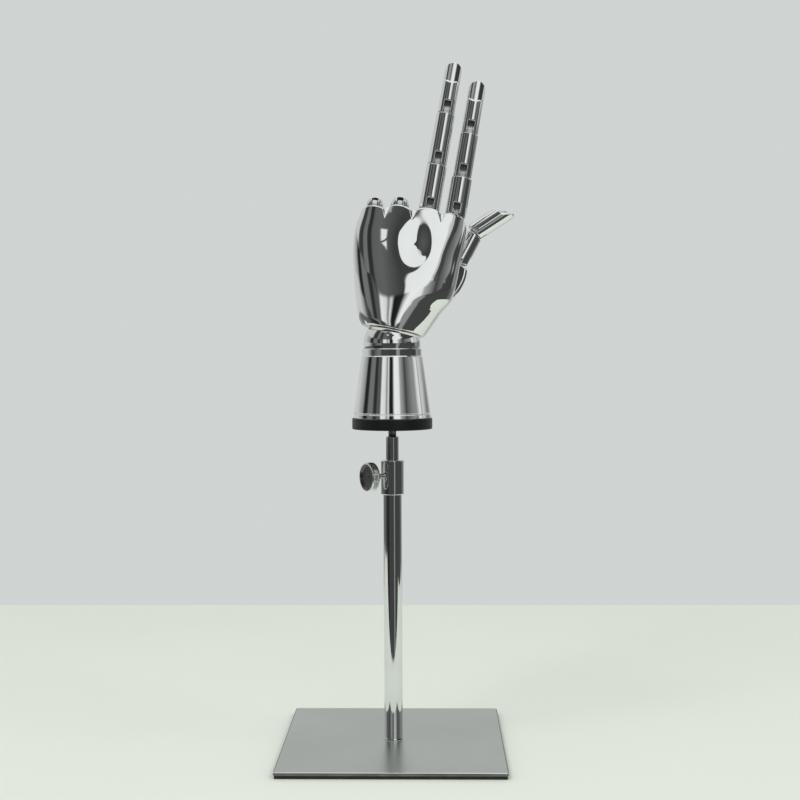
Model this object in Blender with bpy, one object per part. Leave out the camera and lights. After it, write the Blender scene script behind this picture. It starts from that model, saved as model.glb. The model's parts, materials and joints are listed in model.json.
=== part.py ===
"""Jointed left display hand, seen from its back, on a clamped pole with a square base plate.

Metres, +Z up. The origin is the centre of the base pad's underside, on the pole's axis.
The viewer stands at -Y, and the thumb points to +X.
"""

import math

import bmesh
import bpy
from mathutils import Matrix, Vector

MM = 0.001

# Fits: faces that seat on each other, faces that run past each other; broken edges; overshoot of cutters
SEAT = 0.1 * MM
RUN = 0.3 * MM
EDGE = 0.8 * MM
CLEAR = 1 * MM

# Base plate and pole
PAD_SIDE = 188 * MM
PAD_THICKNESS = 2.3 * MM
PLATE_SIDE = 190 * MM
PLATE_THICKNESS = 3.2 * MM
PLATE_CORNER = 2.5 * MM
PLATE_BOTTOM = PAD_THICKNESS + SEAT
PLATE_TOP = PLATE_BOTTOM + PLATE_THICKNESS
SCREW_RADIUS = 3 * MM
SCREW_HEAD_RADIUS = 5.4 * MM
SCREW_TOP = 21 * MM
PLUG_TOP = 27 * MM
TUBE_RADIUS = 8 * MM
TUBE_BORE = 6.6 * MM
TUBE_SIDES = 28

# Clamp collar, with its screw pointing left and towards the viewer
COLLAR_BOTTOM = 219.3 * MM
COLLAR_HEIGHT = 29.7 * MM
COLLAR_RADIUS = 10 * MM
COLLAR_SEAT = 9 * MM
COLLAR_TOP = COLLAR_BOTTOM + COLLAR_HEIGHT
CLAMP_HEIGHT = 235.4 * MM
CLAMP_TURN = math.radians(212)
CLAMP_STUD_RADIUS = 2.4 * MM
CLAMP_TIP_RADIUS = 2 * MM
CLAMP_TIP_LENGTH = 2.4 * MM
KNOB_RADIUS = 12.4 * MM
KNOB_THICKNESS = 7 * MM
KNOB_FACE = 26.2 * MM
KNOB_RIM = 1.6 * MM
KNOB_DISH = 1.5 * MM
KNOB_HUB = 5 * MM
KNOB_HUB_LENGTH = 1.5 * MM

# Rod and its threaded neck
ROD_RADIUS = 5.6 * MM
ROD_BOTTOM = 88 * MM
ROD_TOP = 269.4 * MM
STUD_RADIUS = 3.6 * MM
STUD_SUNK = 12 * MM

# Forearm on its black disc
DISC_BOTTOM = 276.2 * MM
DISC_THICKNESS = 9.4 * MM
DISC_TOP = DISC_BOTTOM + DISC_THICKNESS
DISC_RADIUS = 34.7 * MM
INSERT_RADIUS = 6 * MM
INSERT_LENGTH = 8 * MM
DISC_SCREW_CIRCLE = 30.4 * MM
DISC_SCREW_RADIUS = 1.4 * MM
DISC_SCREW_HEAD = 2.8 * MM
DISC_SCREW_DEPTH = 5 * MM
FOREARM_RADIUS = 34 * MM
# Neck of the forearm, above a narrow ledge: radius, height
FOREARM_NECK = [
    (26.6 * MM, 338.6 * MM),
    (25.9 * MM, 339.4 * MM),
    (25.8 * MM, 345.0 * MM),
    (25.45 * MM, 345.6 * MM),
]
FOREARM_FLANGE_RADIUS = 26.5 * MM
FOREARM_FLANGE = 6.5 * MM
FOREARM_WALL = 3.5 * MM
FOREARM_CEILING = 309 * MM
FOREARM_HOLE = 8 * MM
ROUND_SIDES = 32

# Wrist: a ball between two cups, pulled together by a spring
WRIST_HEIGHT = 349.1 * MM
BALL_RADIUS = 24.8 * MM
CUP_RADIUS = 25.3 * MM
CUP_DROP = 3.5 * MM
BALL_WAIST = 8 * MM
BALL_TOP_OPENING = 13.6 * MM
BALL_BOTTOM_OPENING = 15 * MM
BALL_WAIST_TOP = 12 * MM
BALL_WAIST_BOTTOM = -5 * MM
WRIST_TILT = math.radians(8)
WRIST_LEAN = math.radians(5)
CROSSBAR_RADIUS = 2 * MM
CROSSBAR_LENGTH = 40 * MM
SPRING_WIRE = 0.8 * MM
SPRING_RADIUS = 4 * MM
SPRING_TURNS = 9
SPRING_PITCH = 2.1 * MM
HOOK_RADIUS = 3.3 * MM
EYE_RADIUS = 5 * MM
EYE_WIRE = 1.4 * MM
EYE_SHANK_RADIUS = 2.2 * MM
EYE_SHANK_TOP = 38 * MM

# Palm: height above the wrist, left edge, right edge, depth to the back of the hand, depth to the palm side
PALM_SECTIONS = [
    (11.5, -27.9, 26.7, 27.0, 27.0),
    (17.5, -31.6, 30.2, 27.2, 26.6),
    (34.0, -36.2, 39.2, 27.1, 22.6),
    (45.0, -38.9, 46.2, 26.5, 20.2),
    (60.0, -42.0, 48.2, 24.6, 18.2),
    (78.0, -44.8, 49.0, 21.6, 16.8),
    (95.0, -45.3, 50.2, 18.4, 15.6),
    (112.0, -42.0, 50.2, 14.8, 14.0),
    (127.0, -39.0, 48.0, 12.4, 12.4),
]
PALM_RIM = 11.5
PALM_RIM_SLOPE = -0.057
PALM_RIM_SLOPE_RISE = 20
PALM_ROUND = 2.0
PALM_SQUARE = 2.3
PALM_SQUARE_RISE = 45
PALM_RING_POINTS = 40
PALM_LEVELS = [PALM_RIM, 14, 17.5, 24, 31, 38, 45, 53, 62, 72, 83, 95, 106, 117, 127]
PETAL_HALF = 12 * MM
PETAL_LEFT = -42 * MM
PETAL_RIGHT = 50 * MM
LIP_DROP = 4.0 * MM
LIP_BELOW_PIN = 1.4 * MM
LIP_BACK = 8.4 * MM
LIP_CORNER = -33 * MM
LIP_CORNER_WIDTH = 9 * MM
LIP_CORNER_BACK = 1 * MM
FACET_SLOPE = 1.0
# Shallow hollow in the back of the hand: place, depth and widths
HOLLOW_PLACE = (8.5 * MM, 87 * MM)
HOLLOW_DEPTH = 2.7 * MM
HOLLOW_WIDTHS = (8 * MM, 11 * MM)
NOTCH_DEPTH = 11 * MM
NOTCH_RADIUS = 5 * MM
CUP_PLAY = 0.6 * MM

# Fingers: place of the knuckle pin, sideways lean, lengths from pin to joint plane, to joint plane, to tip
FINGERS = {
    "index": {
        "place": (39.3, 120.5),
        "lean": 1.9,
        "lengths": (31.2, 39.1, 47.7),
        "diameters": (18.8, 16.6, 15.2),
        "bends": (0, 0, 0),
    },
    "middle": {
        "place": (16.0, 121.5),
        "lean": 2.1,
        "lengths": (38.2, 45.9, 46.4),
        "diameters": (18.4, 16.9, 15.2),
        "bends": (0, 0, 0),
    },
    "ring": {
        "place": (-9.8, 120.7),
        "lean": 0.0,
        "lengths": (34.5, 42.0, 44.0),
        "diameters": (16.0, 14.6, 13.2),
        "bends": (78, 76, 24),
    },
    "pinky": {
        "place": (-31.4, 118.0),
        "lean": 0.0,
        "lengths": (27.0, 33.0, 39.0),
        "diameters": (14.6, 13.4, 12.2),
        "bends": (78, 76, 24),
    },
}
FINGER_SIDES = 20
FINGER_TAPER = 0.975
FINGER_BEVEL = 43.0
PIN_LIFT = 3 * MM
PIN_RADIUS = 1.2 * MM
PIN_BORE = 1.38 * MM
PIN_SUNK = 0.5 * MM
PIN_SIDES = 10
TONGUE_WIDTH = 5 * MM
TONGUE_ROUND = 4.6 * MM
TONGUE_ROOT = 9 * MM
SLOT_WIDTH = 5.6 * MM
SLOT_ROOF_BACK = 7.8 * MM
SLOT_ROOF_FRONT = 5.8 * MM
NAIL_STEP = 0.9 * MM
# Nails: length, depth of the front edge, length of the fingertip's dome for its radius
FINGER_NAIL = (19 * MM, -1.8 * MM, 1.15)
THUMB_NAIL = (14.5 * MM, 7.2 * MM, 0.4)

# Thumb, on a flat milled into the palm side
THUMB_FLAT = 8 * MM
THUMB_DEPTH = 17 * MM
THUMB_ANGLE = math.radians(20)
THUMB_JOINT = (47.9 * MM, 79.6 * MM)
THUMB_PIVOT = (37 * MM, 50 * MM)
THUMB_BASE_LENGTH = 44 * MM
THUMB_LENGTHS = (30 * MM, 40 * MM)
THUMB_DIAMETERS = (15.6 * MM, 17.0 * MM)
THUMB_BENDS = (0, 29)
THUMB_BASE_BEVEL = 12.0
THUMB_TIP_BEVEL = 16.0
# Thumb base: share of its length, half width, height over the flat
THUMB_BASE_SECTIONS = [
    (0.0, 3.5, 5.0),
    (0.1, 6.8, 10.0),
    (0.25, 10.0, 15.0),
    (0.5, 12.2, 18.6),
    (0.75, 12.2, 19.0),
    (0.92, 10.3, 18.0),
    (1.0, 8.9, 17.2),
]
THUMB_RECESS_RADIUS = 17 * MM
THUMB_RECESS_TOP = 112 * MM
THUMB_RECESS_LEFT = 26 * MM
PIVOT_RADIUS = 2 * MM
PIVOT_HEAD = 3.8 * MM
PIVOT_HEAD_BOTTOM = 11 * MM
PIVOT_HEAD_TOP = 14 * MM
PIVOT_DEPTH = 12 * MM

# Colour, metallic share and roughness of each finish
LOOKS = {
    "chrome": ((0.80, 0.81, 0.81), 1.0, 0.05),
    "steel": ((0.42, 0.43, 0.42), 1.0, 0.32),
    "pin steel": ((0.60, 0.60, 0.60), 1.0, 0.25),
    "brass": ((0.72, 0.55, 0.25), 1.0, 0.3),
    "black": ((0.015, 0.015, 0.016), 0.0, 0.45),
    "rubber": ((0.03, 0.03, 0.03), 0.0, 0.8),
    "nylon": ((0.82, 0.80, 0.74), 0.0, 0.5),
}
SHARP_ANGLE = math.radians(35)
FAR = 60 * MM


def clear_scene():
    for obj in list(bpy.data.objects):
        bpy.data.objects.remove(obj, do_unlink=True)


def finish(obj, look):
    colour, metallic, roughness = LOOKS[look]
    material = bpy.data.materials.new(obj.name + "_finish")
    material.use_nodes = True
    shader = material.node_tree.nodes["Principled BSDF"]
    shader.inputs["Base Color"].default_value = (*colour, 1.0)
    shader.inputs["Metallic"].default_value = metallic
    shader.inputs["Roughness"].default_value = roughness
    obj.data.materials.append(material)


def solid(name, bm, look, parent=None, place=None):
    """An object made from a mesh, placed in its parent's frame."""
    bmesh.ops.recalc_face_normals(bm, faces=bm.faces)
    mesh = bpy.data.meshes.new(name)
    bm.to_mesh(mesh)
    bm.free()
    mesh.shade_smooth()
    mesh.set_sharp_from_angle(angle=SHARP_ANGLE)
    obj = bpy.data.objects.new(name, mesh)
    bpy.context.scene.collection.objects.link(obj)
    obj.parent = parent
    obj.matrix_local = place or Matrix()
    if look:
        finish(obj, look)
    return obj


def combine(target, operation, label, bm, place=None):
    """Cuts a shape from the target, or joins it on, in the target's own frame."""
    tool = solid(target.name + "_" + label, bm, None, target, place)
    tool.hide_render = True
    tool.display_type = "WIRE"
    modifier = target.modifiers.new(label, "BOOLEAN")
    modifier.operation = operation
    modifier.solver = "EXACT"
    modifier.object = tool


def cut(target, label, bm, place=None):
    combine(target, "DIFFERENCE", label, bm, place)


def join(target, label, bm, place=None):
    combine(target, "UNION", label, bm, place)


def skin(rings, closed=False):
    """Faces between successive rings of points; a ring of one point is a tip. Open ends get caps."""
    bm = bmesh.new()
    loops = [[bm.verts.new(point) for point in ring] for ring in rings]
    sides = max(len(loop) for loop in loops)
    following = loops[1:] + loops[:1] if closed else loops[1:]
    for low, high in zip(loops, following):
        for i in range(sides):
            corners = [low[i % len(low)], low[(i + 1) % len(low)]]
            corners += [high[(i + 1) % len(high)], high[i % len(high)]]
            distinct = list(dict.fromkeys(corners))
            if len(distinct) > 2:
                bm.faces.new(distinct)
    if not closed:
        for loop in (loops[0], loops[-1]):
            if len(loop) > 2:
                bm.faces.new(loop)
    return bm


def turned(outline, sides):
    """A closed (radius, height) outline turned about Z."""
    rings = []
    for radius, height in outline:
        if radius == 0:
            rings.append([(0, 0, height)])
            continue
        turns = [2 * math.pi * i / sides for i in range(sides)]
        rings.append([(radius * math.cos(a), radius * math.sin(a), height) for a in turns])
    return skin(rings, closed=True)


def cylinder(radius, bottom, top, sides):
    return turned([(0, bottom), (radius, bottom), (radius, top), (0, top)], sides)


def tube(bore, radius, bottom, top, sides):
    return turned([(bore, bottom), (radius, bottom), (radius, top), (bore, top)], sides)


def arc(radius, start, end, steps, centre=0.0):
    """Points (radius, height) on a circle about the Z axis point at this height; angles up from level."""
    turns = [math.radians(start + (end - start) * i / steps) for i in range(steps + 1)]
    return [(radius * math.cos(a), centre + radius * math.sin(a)) for a in turns]


def slab(outline, width):
    """A (y, z) outline given this width along X, centred."""
    return skin([[(x, y, z) for y, z in outline] for x in (-width / 2, width / 2)])


def across(bm):
    """Turns a shape's Z axis to X."""
    bmesh.ops.rotate(bm, verts=bm.verts, matrix=Matrix.Rotation(math.pi / 2, 3, "Y"))
    return bm


def wire(name, points, radius, look, parent=None, place=None):
    """A round wire through these points, with closed ends."""
    curve = bpy.data.curves.new(name, "CURVE")
    curve.dimensions = "3D"
    curve.bevel_depth = radius
    curve.bevel_resolution = 1
    curve.use_fill_caps = True
    spline = curve.splines.new("POLY")
    spline.points.add(len(points) - 1)
    for spot, point in zip(spline.points, points):
        spot.co = (*point, 1.0)
    obj = bpy.data.objects.new(name, curve)
    bpy.context.scene.collection.objects.link(obj)
    obj.parent = parent
    obj.matrix_local = place or Matrix()
    finish(obj, look)
    return obj


def smooth_through(rows, x, column):
    """A smooth curve through rows of (x, values...), read at x."""
    last = len(rows) - 1
    k = max(i for i in range(last) if i == 0 or rows[i][0] <= x)

    def slope(i):
        low, high = rows[max(i - 1, 0)], rows[min(i + 1, last)]
        return (high[column] - low[column]) / (high[0] - low[0])

    span = rows[k + 1][0] - rows[k][0]
    t = (x - rows[k][0]) / span
    start, end = rows[k][column], rows[k + 1][column]
    value = start * (1 + 2 * t) * (1 - t) ** 2 + end * t * t * (3 - 2 * t)
    return value + span * (slope(k) * t * (1 - t) ** 2 - slope(k + 1) * t * t * (1 - t))


def make_stand():
    half = PAD_SIDE / 2
    square = [(-half, -half), (half, -half), (half, half), (-half, half)]
    solid("base_pad", skin([[(x, y, z) for x, y in square] for z in (0, PAD_THICKNESS)]), "rubber")

    plate = solid("base_plate", rounded_plate(), "steel")
    screw = (PLATE_BOTTOM + SEAT, SCREW_HEAD_RADIUS, SCREW_RADIUS, SCREW_TOP)
    cut(plate, "screw_hole", turned(countersunk(*screw, gap=2 * SEAT), 16))
    solid("base_screw", turned(countersunk(*screw), 16), "pin steel")
    plug = tube(SCREW_RADIUS + RUN, TUBE_BORE - SEAT, PLATE_TOP + SEAT, PLUG_TOP, 20)
    solid("tube_plug", plug, "pin steel")

    seat = COLLAR_BOTTOM + COLLAR_SEAT
    pole = tube(TUBE_BORE, TUBE_RADIUS, PLATE_TOP + SEAT, seat - SEAT, TUBE_SIDES)
    solid("outer_tube", pole, "chrome")
    bore = ROD_RADIUS + RUN
    outline = [
        (TUBE_RADIUS + 2 * SEAT, COLLAR_BOTTOM),
        (COLLAR_RADIUS - EDGE, COLLAR_BOTTOM),
        (COLLAR_RADIUS, COLLAR_BOTTOM + EDGE),
        (COLLAR_RADIUS, COLLAR_TOP - EDGE),
        (COLLAR_RADIUS - EDGE, COLLAR_TOP),
        (bore, COLLAR_TOP),
        (bore, seat),
        (TUBE_RADIUS + 2 * SEAT, seat),
    ]
    collar = solid("clamp_collar", turned(outline, TUBE_SIDES), "chrome")
    hole = cylinder(CLAMP_STUD_RADIUS + RUN, ROD_RADIUS / 2, 2 * COLLAR_RADIUS, 12)
    cut(collar, "stud_hole", hole, clamp_frame())


def rounded_plate():
    inner = PLATE_SIDE / 2 - PLATE_CORNER
    outline = []
    for quarter in range(4):
        middle = math.radians(45 + 90 * quarter)
        centre = (math.copysign(inner, math.cos(middle)), math.copysign(inner, math.sin(middle)))
        for step in range(4):
            a = math.radians(90 * quarter + 30 * step)
            reach = (PLATE_CORNER * math.cos(a), PLATE_CORNER * math.sin(a))
            outline.append((centre[0] + reach[0], centre[1] + reach[1]))
    return skin([[(x, y, z) for x, y in outline] for z in (PLATE_BOTTOM, PLATE_TOP)])


def countersunk(bottom, head, shank, top, gap=0.0):
    """Outline of a countersunk screw, head down; with a gap, its hole, open at the bottom."""
    neck = bottom + head - shank
    start = bottom - CLEAR if gap else bottom
    outline = [(0, start), (head + gap, start), (head + gap, bottom), (shank + gap, neck)]
    outline += [(shank + gap, top + gap), (0, top + gap)]
    return outline if gap else outline[:1] + outline[2:]


def clamp_frame():
    """Z runs outwards along the clamp screw, from the pole's axis."""
    turn = Matrix.Rotation(CLAMP_TURN, 4, "Z") @ Matrix.Rotation(math.pi / 2, 4, "Y")
    return Matrix.Translation((0, 0, CLAMP_HEIGHT)) @ turn


def make_clamp_screw():
    frame = clamp_frame()
    tip_start = ROD_RADIUS + SEAT
    tip_end = tip_start + CLAMP_TIP_LENGTH
    solid("clamp_tip", cylinder(CLAMP_TIP_RADIUS, tip_start, tip_end, 10), "nylon", None, frame)
    back = KNOB_FACE - KNOB_THICKNESS
    stud_end = KNOB_FACE - KNOB_DISH - CLEAR
    shank = cylinder(CLAMP_STUD_RADIUS, tip_end + SEAT, stud_end, 12)
    stud = solid("clamp_stud", shank, "pin steel", None, frame)

    hole = CLAMP_STUD_RADIUS + SEAT
    outline = [
        (hole, back - KNOB_HUB_LENGTH),
        (KNOB_HUB, back - KNOB_HUB_LENGTH),
        (KNOB_HUB, back),
        (KNOB_RADIUS - EDGE, back),
        (KNOB_RADIUS, back + EDGE),
        (KNOB_RADIUS, KNOB_FACE - EDGE),
        (KNOB_RADIUS - EDGE, KNOB_FACE),
        (KNOB_RADIUS - KNOB_RIM, KNOB_FACE),
        (KNOB_RADIUS - KNOB_RIM - KNOB_DISH, KNOB_FACE - KNOB_DISH),
        (0, KNOB_FACE - KNOB_DISH),
        (0, stud_end + SEAT),
        (hole, stud_end + SEAT),
    ]
    solid("clamp_knob", turned(outline, 24), "chrome", stud)


def make_rod():
    bore = STUD_RADIUS + SEAT
    outline = [
        (0, ROD_BOTTOM),
        (ROD_RADIUS, ROD_BOTTOM),
        (ROD_RADIUS, ROD_TOP - EDGE),
        (ROD_RADIUS - EDGE, ROD_TOP),
        (bore, ROD_TOP),
        (bore, ROD_TOP - STUD_SUNK),
        (0, ROD_TOP - STUD_SUNK),
    ]
    rod = solid("inner_rod", turned(outline, 20), "chrome")
    stud_top = DISC_BOTTOM + INSERT_LENGTH - CLEAR
    stud = cylinder(STUD_RADIUS, ROD_TOP - STUD_SUNK + SEAT, stud_top, 20)
    solid("rod_stud", stud, "pin steel", rod)


def disc_screw_places():
    for i in range(3):
        a = math.radians(90 + 120 * i)
        yield DISC_SCREW_CIRCLE * math.cos(a), DISC_SCREW_CIRCLE * math.sin(a)


def disc_screw_outline(gap=0.0):
    top = DISC_TOP + DISC_SCREW_DEPTH
    return countersunk(DISC_BOTTOM + SEAT, DISC_SCREW_HEAD, DISC_SCREW_RADIUS, top, gap)


def make_forearm():
    socket = INSERT_RADIUS + SEAT
    outline = [
        (socket, DISC_BOTTOM),
        (DISC_RADIUS - EDGE, DISC_BOTTOM),
        (DISC_RADIUS, DISC_BOTTOM + EDGE),
        (DISC_RADIUS, DISC_TOP - EDGE),
        (DISC_RADIUS - EDGE, DISC_TOP),
        (0, DISC_TOP),
        (0, DISC_BOTTOM + INSERT_LENGTH + SEAT),
        (socket, DISC_BOTTOM + INSERT_LENGTH + SEAT),
    ]
    disc = solid("base_disc", turned(outline, ROUND_SIDES), "black")
    insert_bore = STUD_RADIUS + 2 * SEAT
    insert = tube(insert_bore, INSERT_RADIUS, DISC_BOTTOM, DISC_BOTTOM + INSERT_LENGTH, 20)
    solid("threaded_insert", insert, "brass", disc)

    bottom = DISC_TOP + SEAT
    flange_top = bottom + FOREARM_FLANGE
    cone_top_radius, cone_top = FOREARM_NECK[0]

    def inside(height):
        fall = (FOREARM_RADIUS - cone_top_radius) / (cone_top - bottom)
        return FOREARM_RADIUS - fall * (height - bottom) - FOREARM_WALL

    rim_start = -math.degrees(math.asin(CUP_DROP / CUP_RADIUS))
    hole_end = -math.degrees(math.acos(FOREARM_HOLE / CUP_RADIUS))
    outline = [
        (FOREARM_FLANGE_RADIUS, bottom),
        (FOREARM_RADIUS, bottom),
        *FOREARM_NECK,
        *arc(CUP_RADIUS, rim_start, hole_end, 8, WRIST_HEIGHT),
        (FOREARM_HOLE, FOREARM_CEILING),
        (inside(FOREARM_CEILING), FOREARM_CEILING),
        (inside(flange_top + FOREARM_WALL), flange_top + FOREARM_WALL),
        (FOREARM_FLANGE_RADIUS, flange_top),
    ]
    shell = solid("forearm_shell", turned(outline, ROUND_SIDES), "chrome", disc)
    for number, (x, y) in enumerate(disc_screw_places(), 1):
        spot = Matrix.Translation((x, y, 0))
        cut(disc, f"screw_hole_{number}", turned(disc_screw_outline(2 * SEAT), 10), spot)
        cut(shell, f"screw_hole_{number}", turned(disc_screw_outline(2 * SEAT), 10), spot)
        solid(f"disc_screw_{number}", turned(disc_screw_outline(), 10), "black", disc, spot)


def wrist_frame():
    return Matrix.Translation((0, 0, WRIST_HEIGHT))


def tilted_frame():
    return wrist_frame() @ Matrix.Rotation(WRIST_TILT, 4, "Y")


def make_wrist():
    bar_drop = FOREARM_CEILING - RUN - CROSSBAR_RADIUS - WRIST_HEIGHT
    bar_place = wrist_frame() @ Matrix.Translation((0, 0, bar_drop))
    half = CROSSBAR_LENGTH / 2
    bar = across(cylinder(CROSSBAR_RADIUS, -half, half, 12))
    solid("spring_crossbar", bar, "pin steel", None, bar_place)
    wire("wrist_spring", spring_points(bar_drop), SPRING_WIRE, "pin steel", None, wrist_frame())

    start = -math.degrees(math.acos(BALL_BOTTOM_OPENING / BALL_RADIUS))
    end = math.degrees(math.acos(BALL_TOP_OPENING / BALL_RADIUS))
    outline = [
        *arc(BALL_RADIUS, start, end, 14),
        (BALL_WAIST, BALL_WAIST_TOP),
        (BALL_WAIST, BALL_WAIST_BOTTOM),
    ]
    solid("wrist_ball", turned(outline, ROUND_SIDES), "chrome", None, tilted_frame())


def spring_points(bar_drop):
    """Hook round the crossbar, coil up, hook through the eye at the ball's centre."""
    points = []
    for step in range(10):
        a = math.radians(-60 - 27 * step)
        points.append((0, HOOK_RADIUS * math.cos(a), bar_drop + HOOK_RADIUS * math.sin(a)))
    coil_height = SPRING_TURNS * SPRING_PITCH
    coil_start = (bar_drop - coil_height) / 2
    steps = SPRING_TURNS * 9
    for step in range(steps + 1):
        a = math.radians(90) + 2 * math.pi * step / 9
        height = coil_start + coil_height * step / steps
        points.append((SPRING_RADIUS * math.cos(a), SPRING_RADIUS * math.sin(a), height))
    for step in range(9):
        a = math.radians(-20 + 27 * step)
        points.append((0, HOOK_RADIUS * math.cos(a), HOOK_RADIUS * math.sin(a)))
    return points


def make_eye_bolt(palm):
    """An eye whose lower side passes through the ball's centre, on a shank screwed into the palm."""
    rings = []
    depth = Vector((0, 1, 0))
    for step in range(16):
        a = 2 * math.pi * step / 16
        outwards = Vector((math.cos(a), 0, math.sin(a)))
        middle = EYE_RADIUS * (outwards + Vector((0, 0, 1)))
        turns = [2 * math.pi * side / 8 for side in range(8)]
        rings.append([middle + EYE_WIRE * (math.cos(b) * outwards + math.sin(b) * depth) for b in turns])
    bolt = solid("wrist_eye_bolt", skin(rings, closed=True), "pin steel", palm)
    join(bolt, "shank", cylinder(EYE_SHANK_RADIUS, 2 * EYE_RADIUS, EYE_SHANK_TOP, 10))


def palm_edges(level):
    """Left edge, right edge and the depths to back and front, in metres, at this height in millimetres."""
    return [smooth_through(PALM_SECTIONS, level, column) * MM for column in (1, 2, 3, 4)]


def palm_power(level):
    """The section goes from round at the rim to squarer higher up."""
    share = min(max((level - PALM_RIM) / PALM_SQUARE_RISE, 0), 1)
    return PALM_ROUND + (PALM_SQUARE - PALM_ROUND) * share


def palm_ring(level):
    left, right, back, front = palm_edges(level)
    power = 2 / palm_power(level)
    slope = PALM_RIM_SLOPE * max(0, 1 - (level - PALM_RIM) / PALM_RIM_SLOPE_RISE)
    ring = []
    for i in range(PALM_RING_POINTS):
        a = 2 * math.pi * i / PALM_RING_POINTS
        c, s = math.cos(a), math.sin(a)
        x = (left + right) / 2 + (right - left) / 2 * math.copysign(abs(c) ** power, c)
        y = (front if s > 0 else back) * math.copysign(abs(s) ** power, s)
        if s < 0:
            y += hollow(x, level * MM)
        ring.append((x, y, level * MM + slope * x))
    return ring


def hollow(x, z):
    """How far the back of the hand sinks in at this place."""
    across, up = ((a - b) / width for a, b, width in zip((x, z), HOLLOW_PLACE, HOLLOW_WIDTHS))
    return HOLLOW_DEPTH * math.exp(-(across * across + up * up) / 2)


def back_of_palm(x, level):
    """Depth of the back of the hand at this place."""
    left, right, back, _ = palm_edges(level)
    share = abs(x - (left + right) / 2) / ((right - left) / 2)
    power = palm_power(level)
    return -back * (1 - share**power) ** (1 / power)


def finger_pin(finger):
    x, z = FINGERS[finger]["place"]
    return Vector((x * MM, 0, z * MM))


def notches():
    """Places midway between neighbouring fingers, left to right."""
    pins = sorted(finger_pin(finger).x for finger in FINGERS)
    return [(a + b) / 2 for a, b in zip(pins, pins[1:])]


def lip_height(x):
    """The petal edge: an arch over each finger that drops towards the notches."""
    pin = min((finger_pin(finger) for finger in FINGERS), key=lambda p: abs(p.x - x))
    return pin.z - LIP_BELOW_PIN - LIP_DROP * ((x - pin.x) / PETAL_HALF) ** 2


def slope_start(x):
    """Depth at which the slope behind the petal edge begins: further back at the little finger's corner."""
    share = min(max((LIP_CORNER - x) / LIP_CORNER_WIDTH, 0), 1)
    return -LIP_BACK + (LIP_BACK + LIP_CORNER_BACK) * share**2 * (3 - 2 * share)


def top_waste():
    """What is taken off the top of the palm: above the petal edge, and down a slope behind it."""
    rings = []
    stations = 48
    for i in range(stations + 1):
        x = FAR * (2 * i / stations - 1)
        lip = lip_height(max(min(x, PETAL_RIGHT), PETAL_LEFT))
        start = slope_start(x)
        low = lip - (FAR - start) * FACET_SLOPE
        outline = [(-FAR, lip), (start, lip), (FAR, low), (FAR, 3 * FAR), (-FAR, 3 * FAR)]
        rings.append([(x, y, z) for y, z in outline])
    return skin(rings)


def ball(radius, sides, steps):
    return turned([(0, -radius), *arc(radius, -90, 90, steps)[1:-1], (0, radius)], sides)


def thumb_recess():
    x, z = THUMB_PIVOT
    outline = []
    for step in range(7):
        a = math.radians(180 + 15 * step)
        outline.append((x + THUMB_RECESS_RADIUS * math.cos(a), z + THUMB_RECESS_RADIUS * math.sin(a)))
    outline += [(2 * FAR, z - THUMB_RECESS_RADIUS), (2 * FAR, THUMB_RECESS_TOP)]
    outline += [(THUMB_RECESS_LEFT, THUMB_RECESS_TOP)]
    return skin([[(u, depth, w) for u, w in outline] for depth in (THUMB_FLAT, FAR)])


def towards_palm_side(place):
    """A frame there whose Z points to the palm side."""
    return Matrix.Translation(place) @ Matrix.Rotation(-math.pi / 2, 4, "X")


def thumb_pivot():
    return Vector((THUMB_PIVOT[0], THUMB_FLAT, THUMB_PIVOT[1]))


def tongue(root):
    """Flat tongue along Z about a pin at the origin, with its round end up."""
    outline = [(TONGUE_ROUND, -root), *arc(TONGUE_ROUND, 0, 180, 6), (-TONGUE_ROUND, -root)]
    return slab(outline, TONGUE_WIDTH)


def pin_hole():
    return across(cylinder(PIN_BORE, -FAR, FAR, PIN_SIDES))


def make_palm():
    place = tilted_frame() @ Matrix.Rotation(-WRIST_LEAN, 4, "X")
    palm = solid("palm", skin([palm_ring(level) for level in PALM_LEVELS]), "chrome", None, place)
    cut(palm, "wrist_cup", ball(CUP_RADIUS, ROUND_SIDES, 14))
    cut(palm, "top", top_waste())
    for number, x in enumerate(notches(), 1):
        bottom = lip_height(x) - NOTCH_DEPTH + LIP_DROP
        apex = Vector((x, back_of_palm(x, bottom / MM), bottom))
        height = 2 * NOTCH_DEPTH
        cone = turned([(0, 0), (NOTCH_RADIUS * height / NOTCH_DEPTH, height), (0, height)], 14)
        cut(palm, f"notch_{number}", cone, Matrix.Translation(apex))
    for finger, sizes in FINGERS.items():
        lean = Matrix.Rotation(math.radians(sizes["lean"]), 4, "Y")
        knuckle = Matrix.Translation(finger_pin(finger)) @ lean
        cut(palm, finger + "_cup", ball(sizes["diameters"][0] / 2 * MM + CUP_PLAY, 16, 8), knuckle)
        join(palm, finger + "_tongue", tongue(2 * TONGUE_ROOT), knuckle)
        cut(palm, finger + "_bore", pin_hole_in_tongue(), knuckle)
    cut(palm, "thumb_recess", thumb_recess())
    hole = cylinder(PIVOT_RADIUS + SEAT, -PIVOT_DEPTH - RUN, FAR, 10)
    cut(palm, "pivot_hole", hole, towards_palm_side(thumb_pivot()))
    cut(palm, "eye_hole", cylinder(EYE_SHANK_RADIUS + SEAT, BALL_WAIST, EYE_SHANK_TOP + RUN, 10))
    make_eye_bolt(palm)
    return palm


def pin_hole_in_tongue():
    return across(cylinder(PIN_BORE, -TONGUE_WIDTH, TONGUE_WIDTH, PIN_SIDES))


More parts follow.
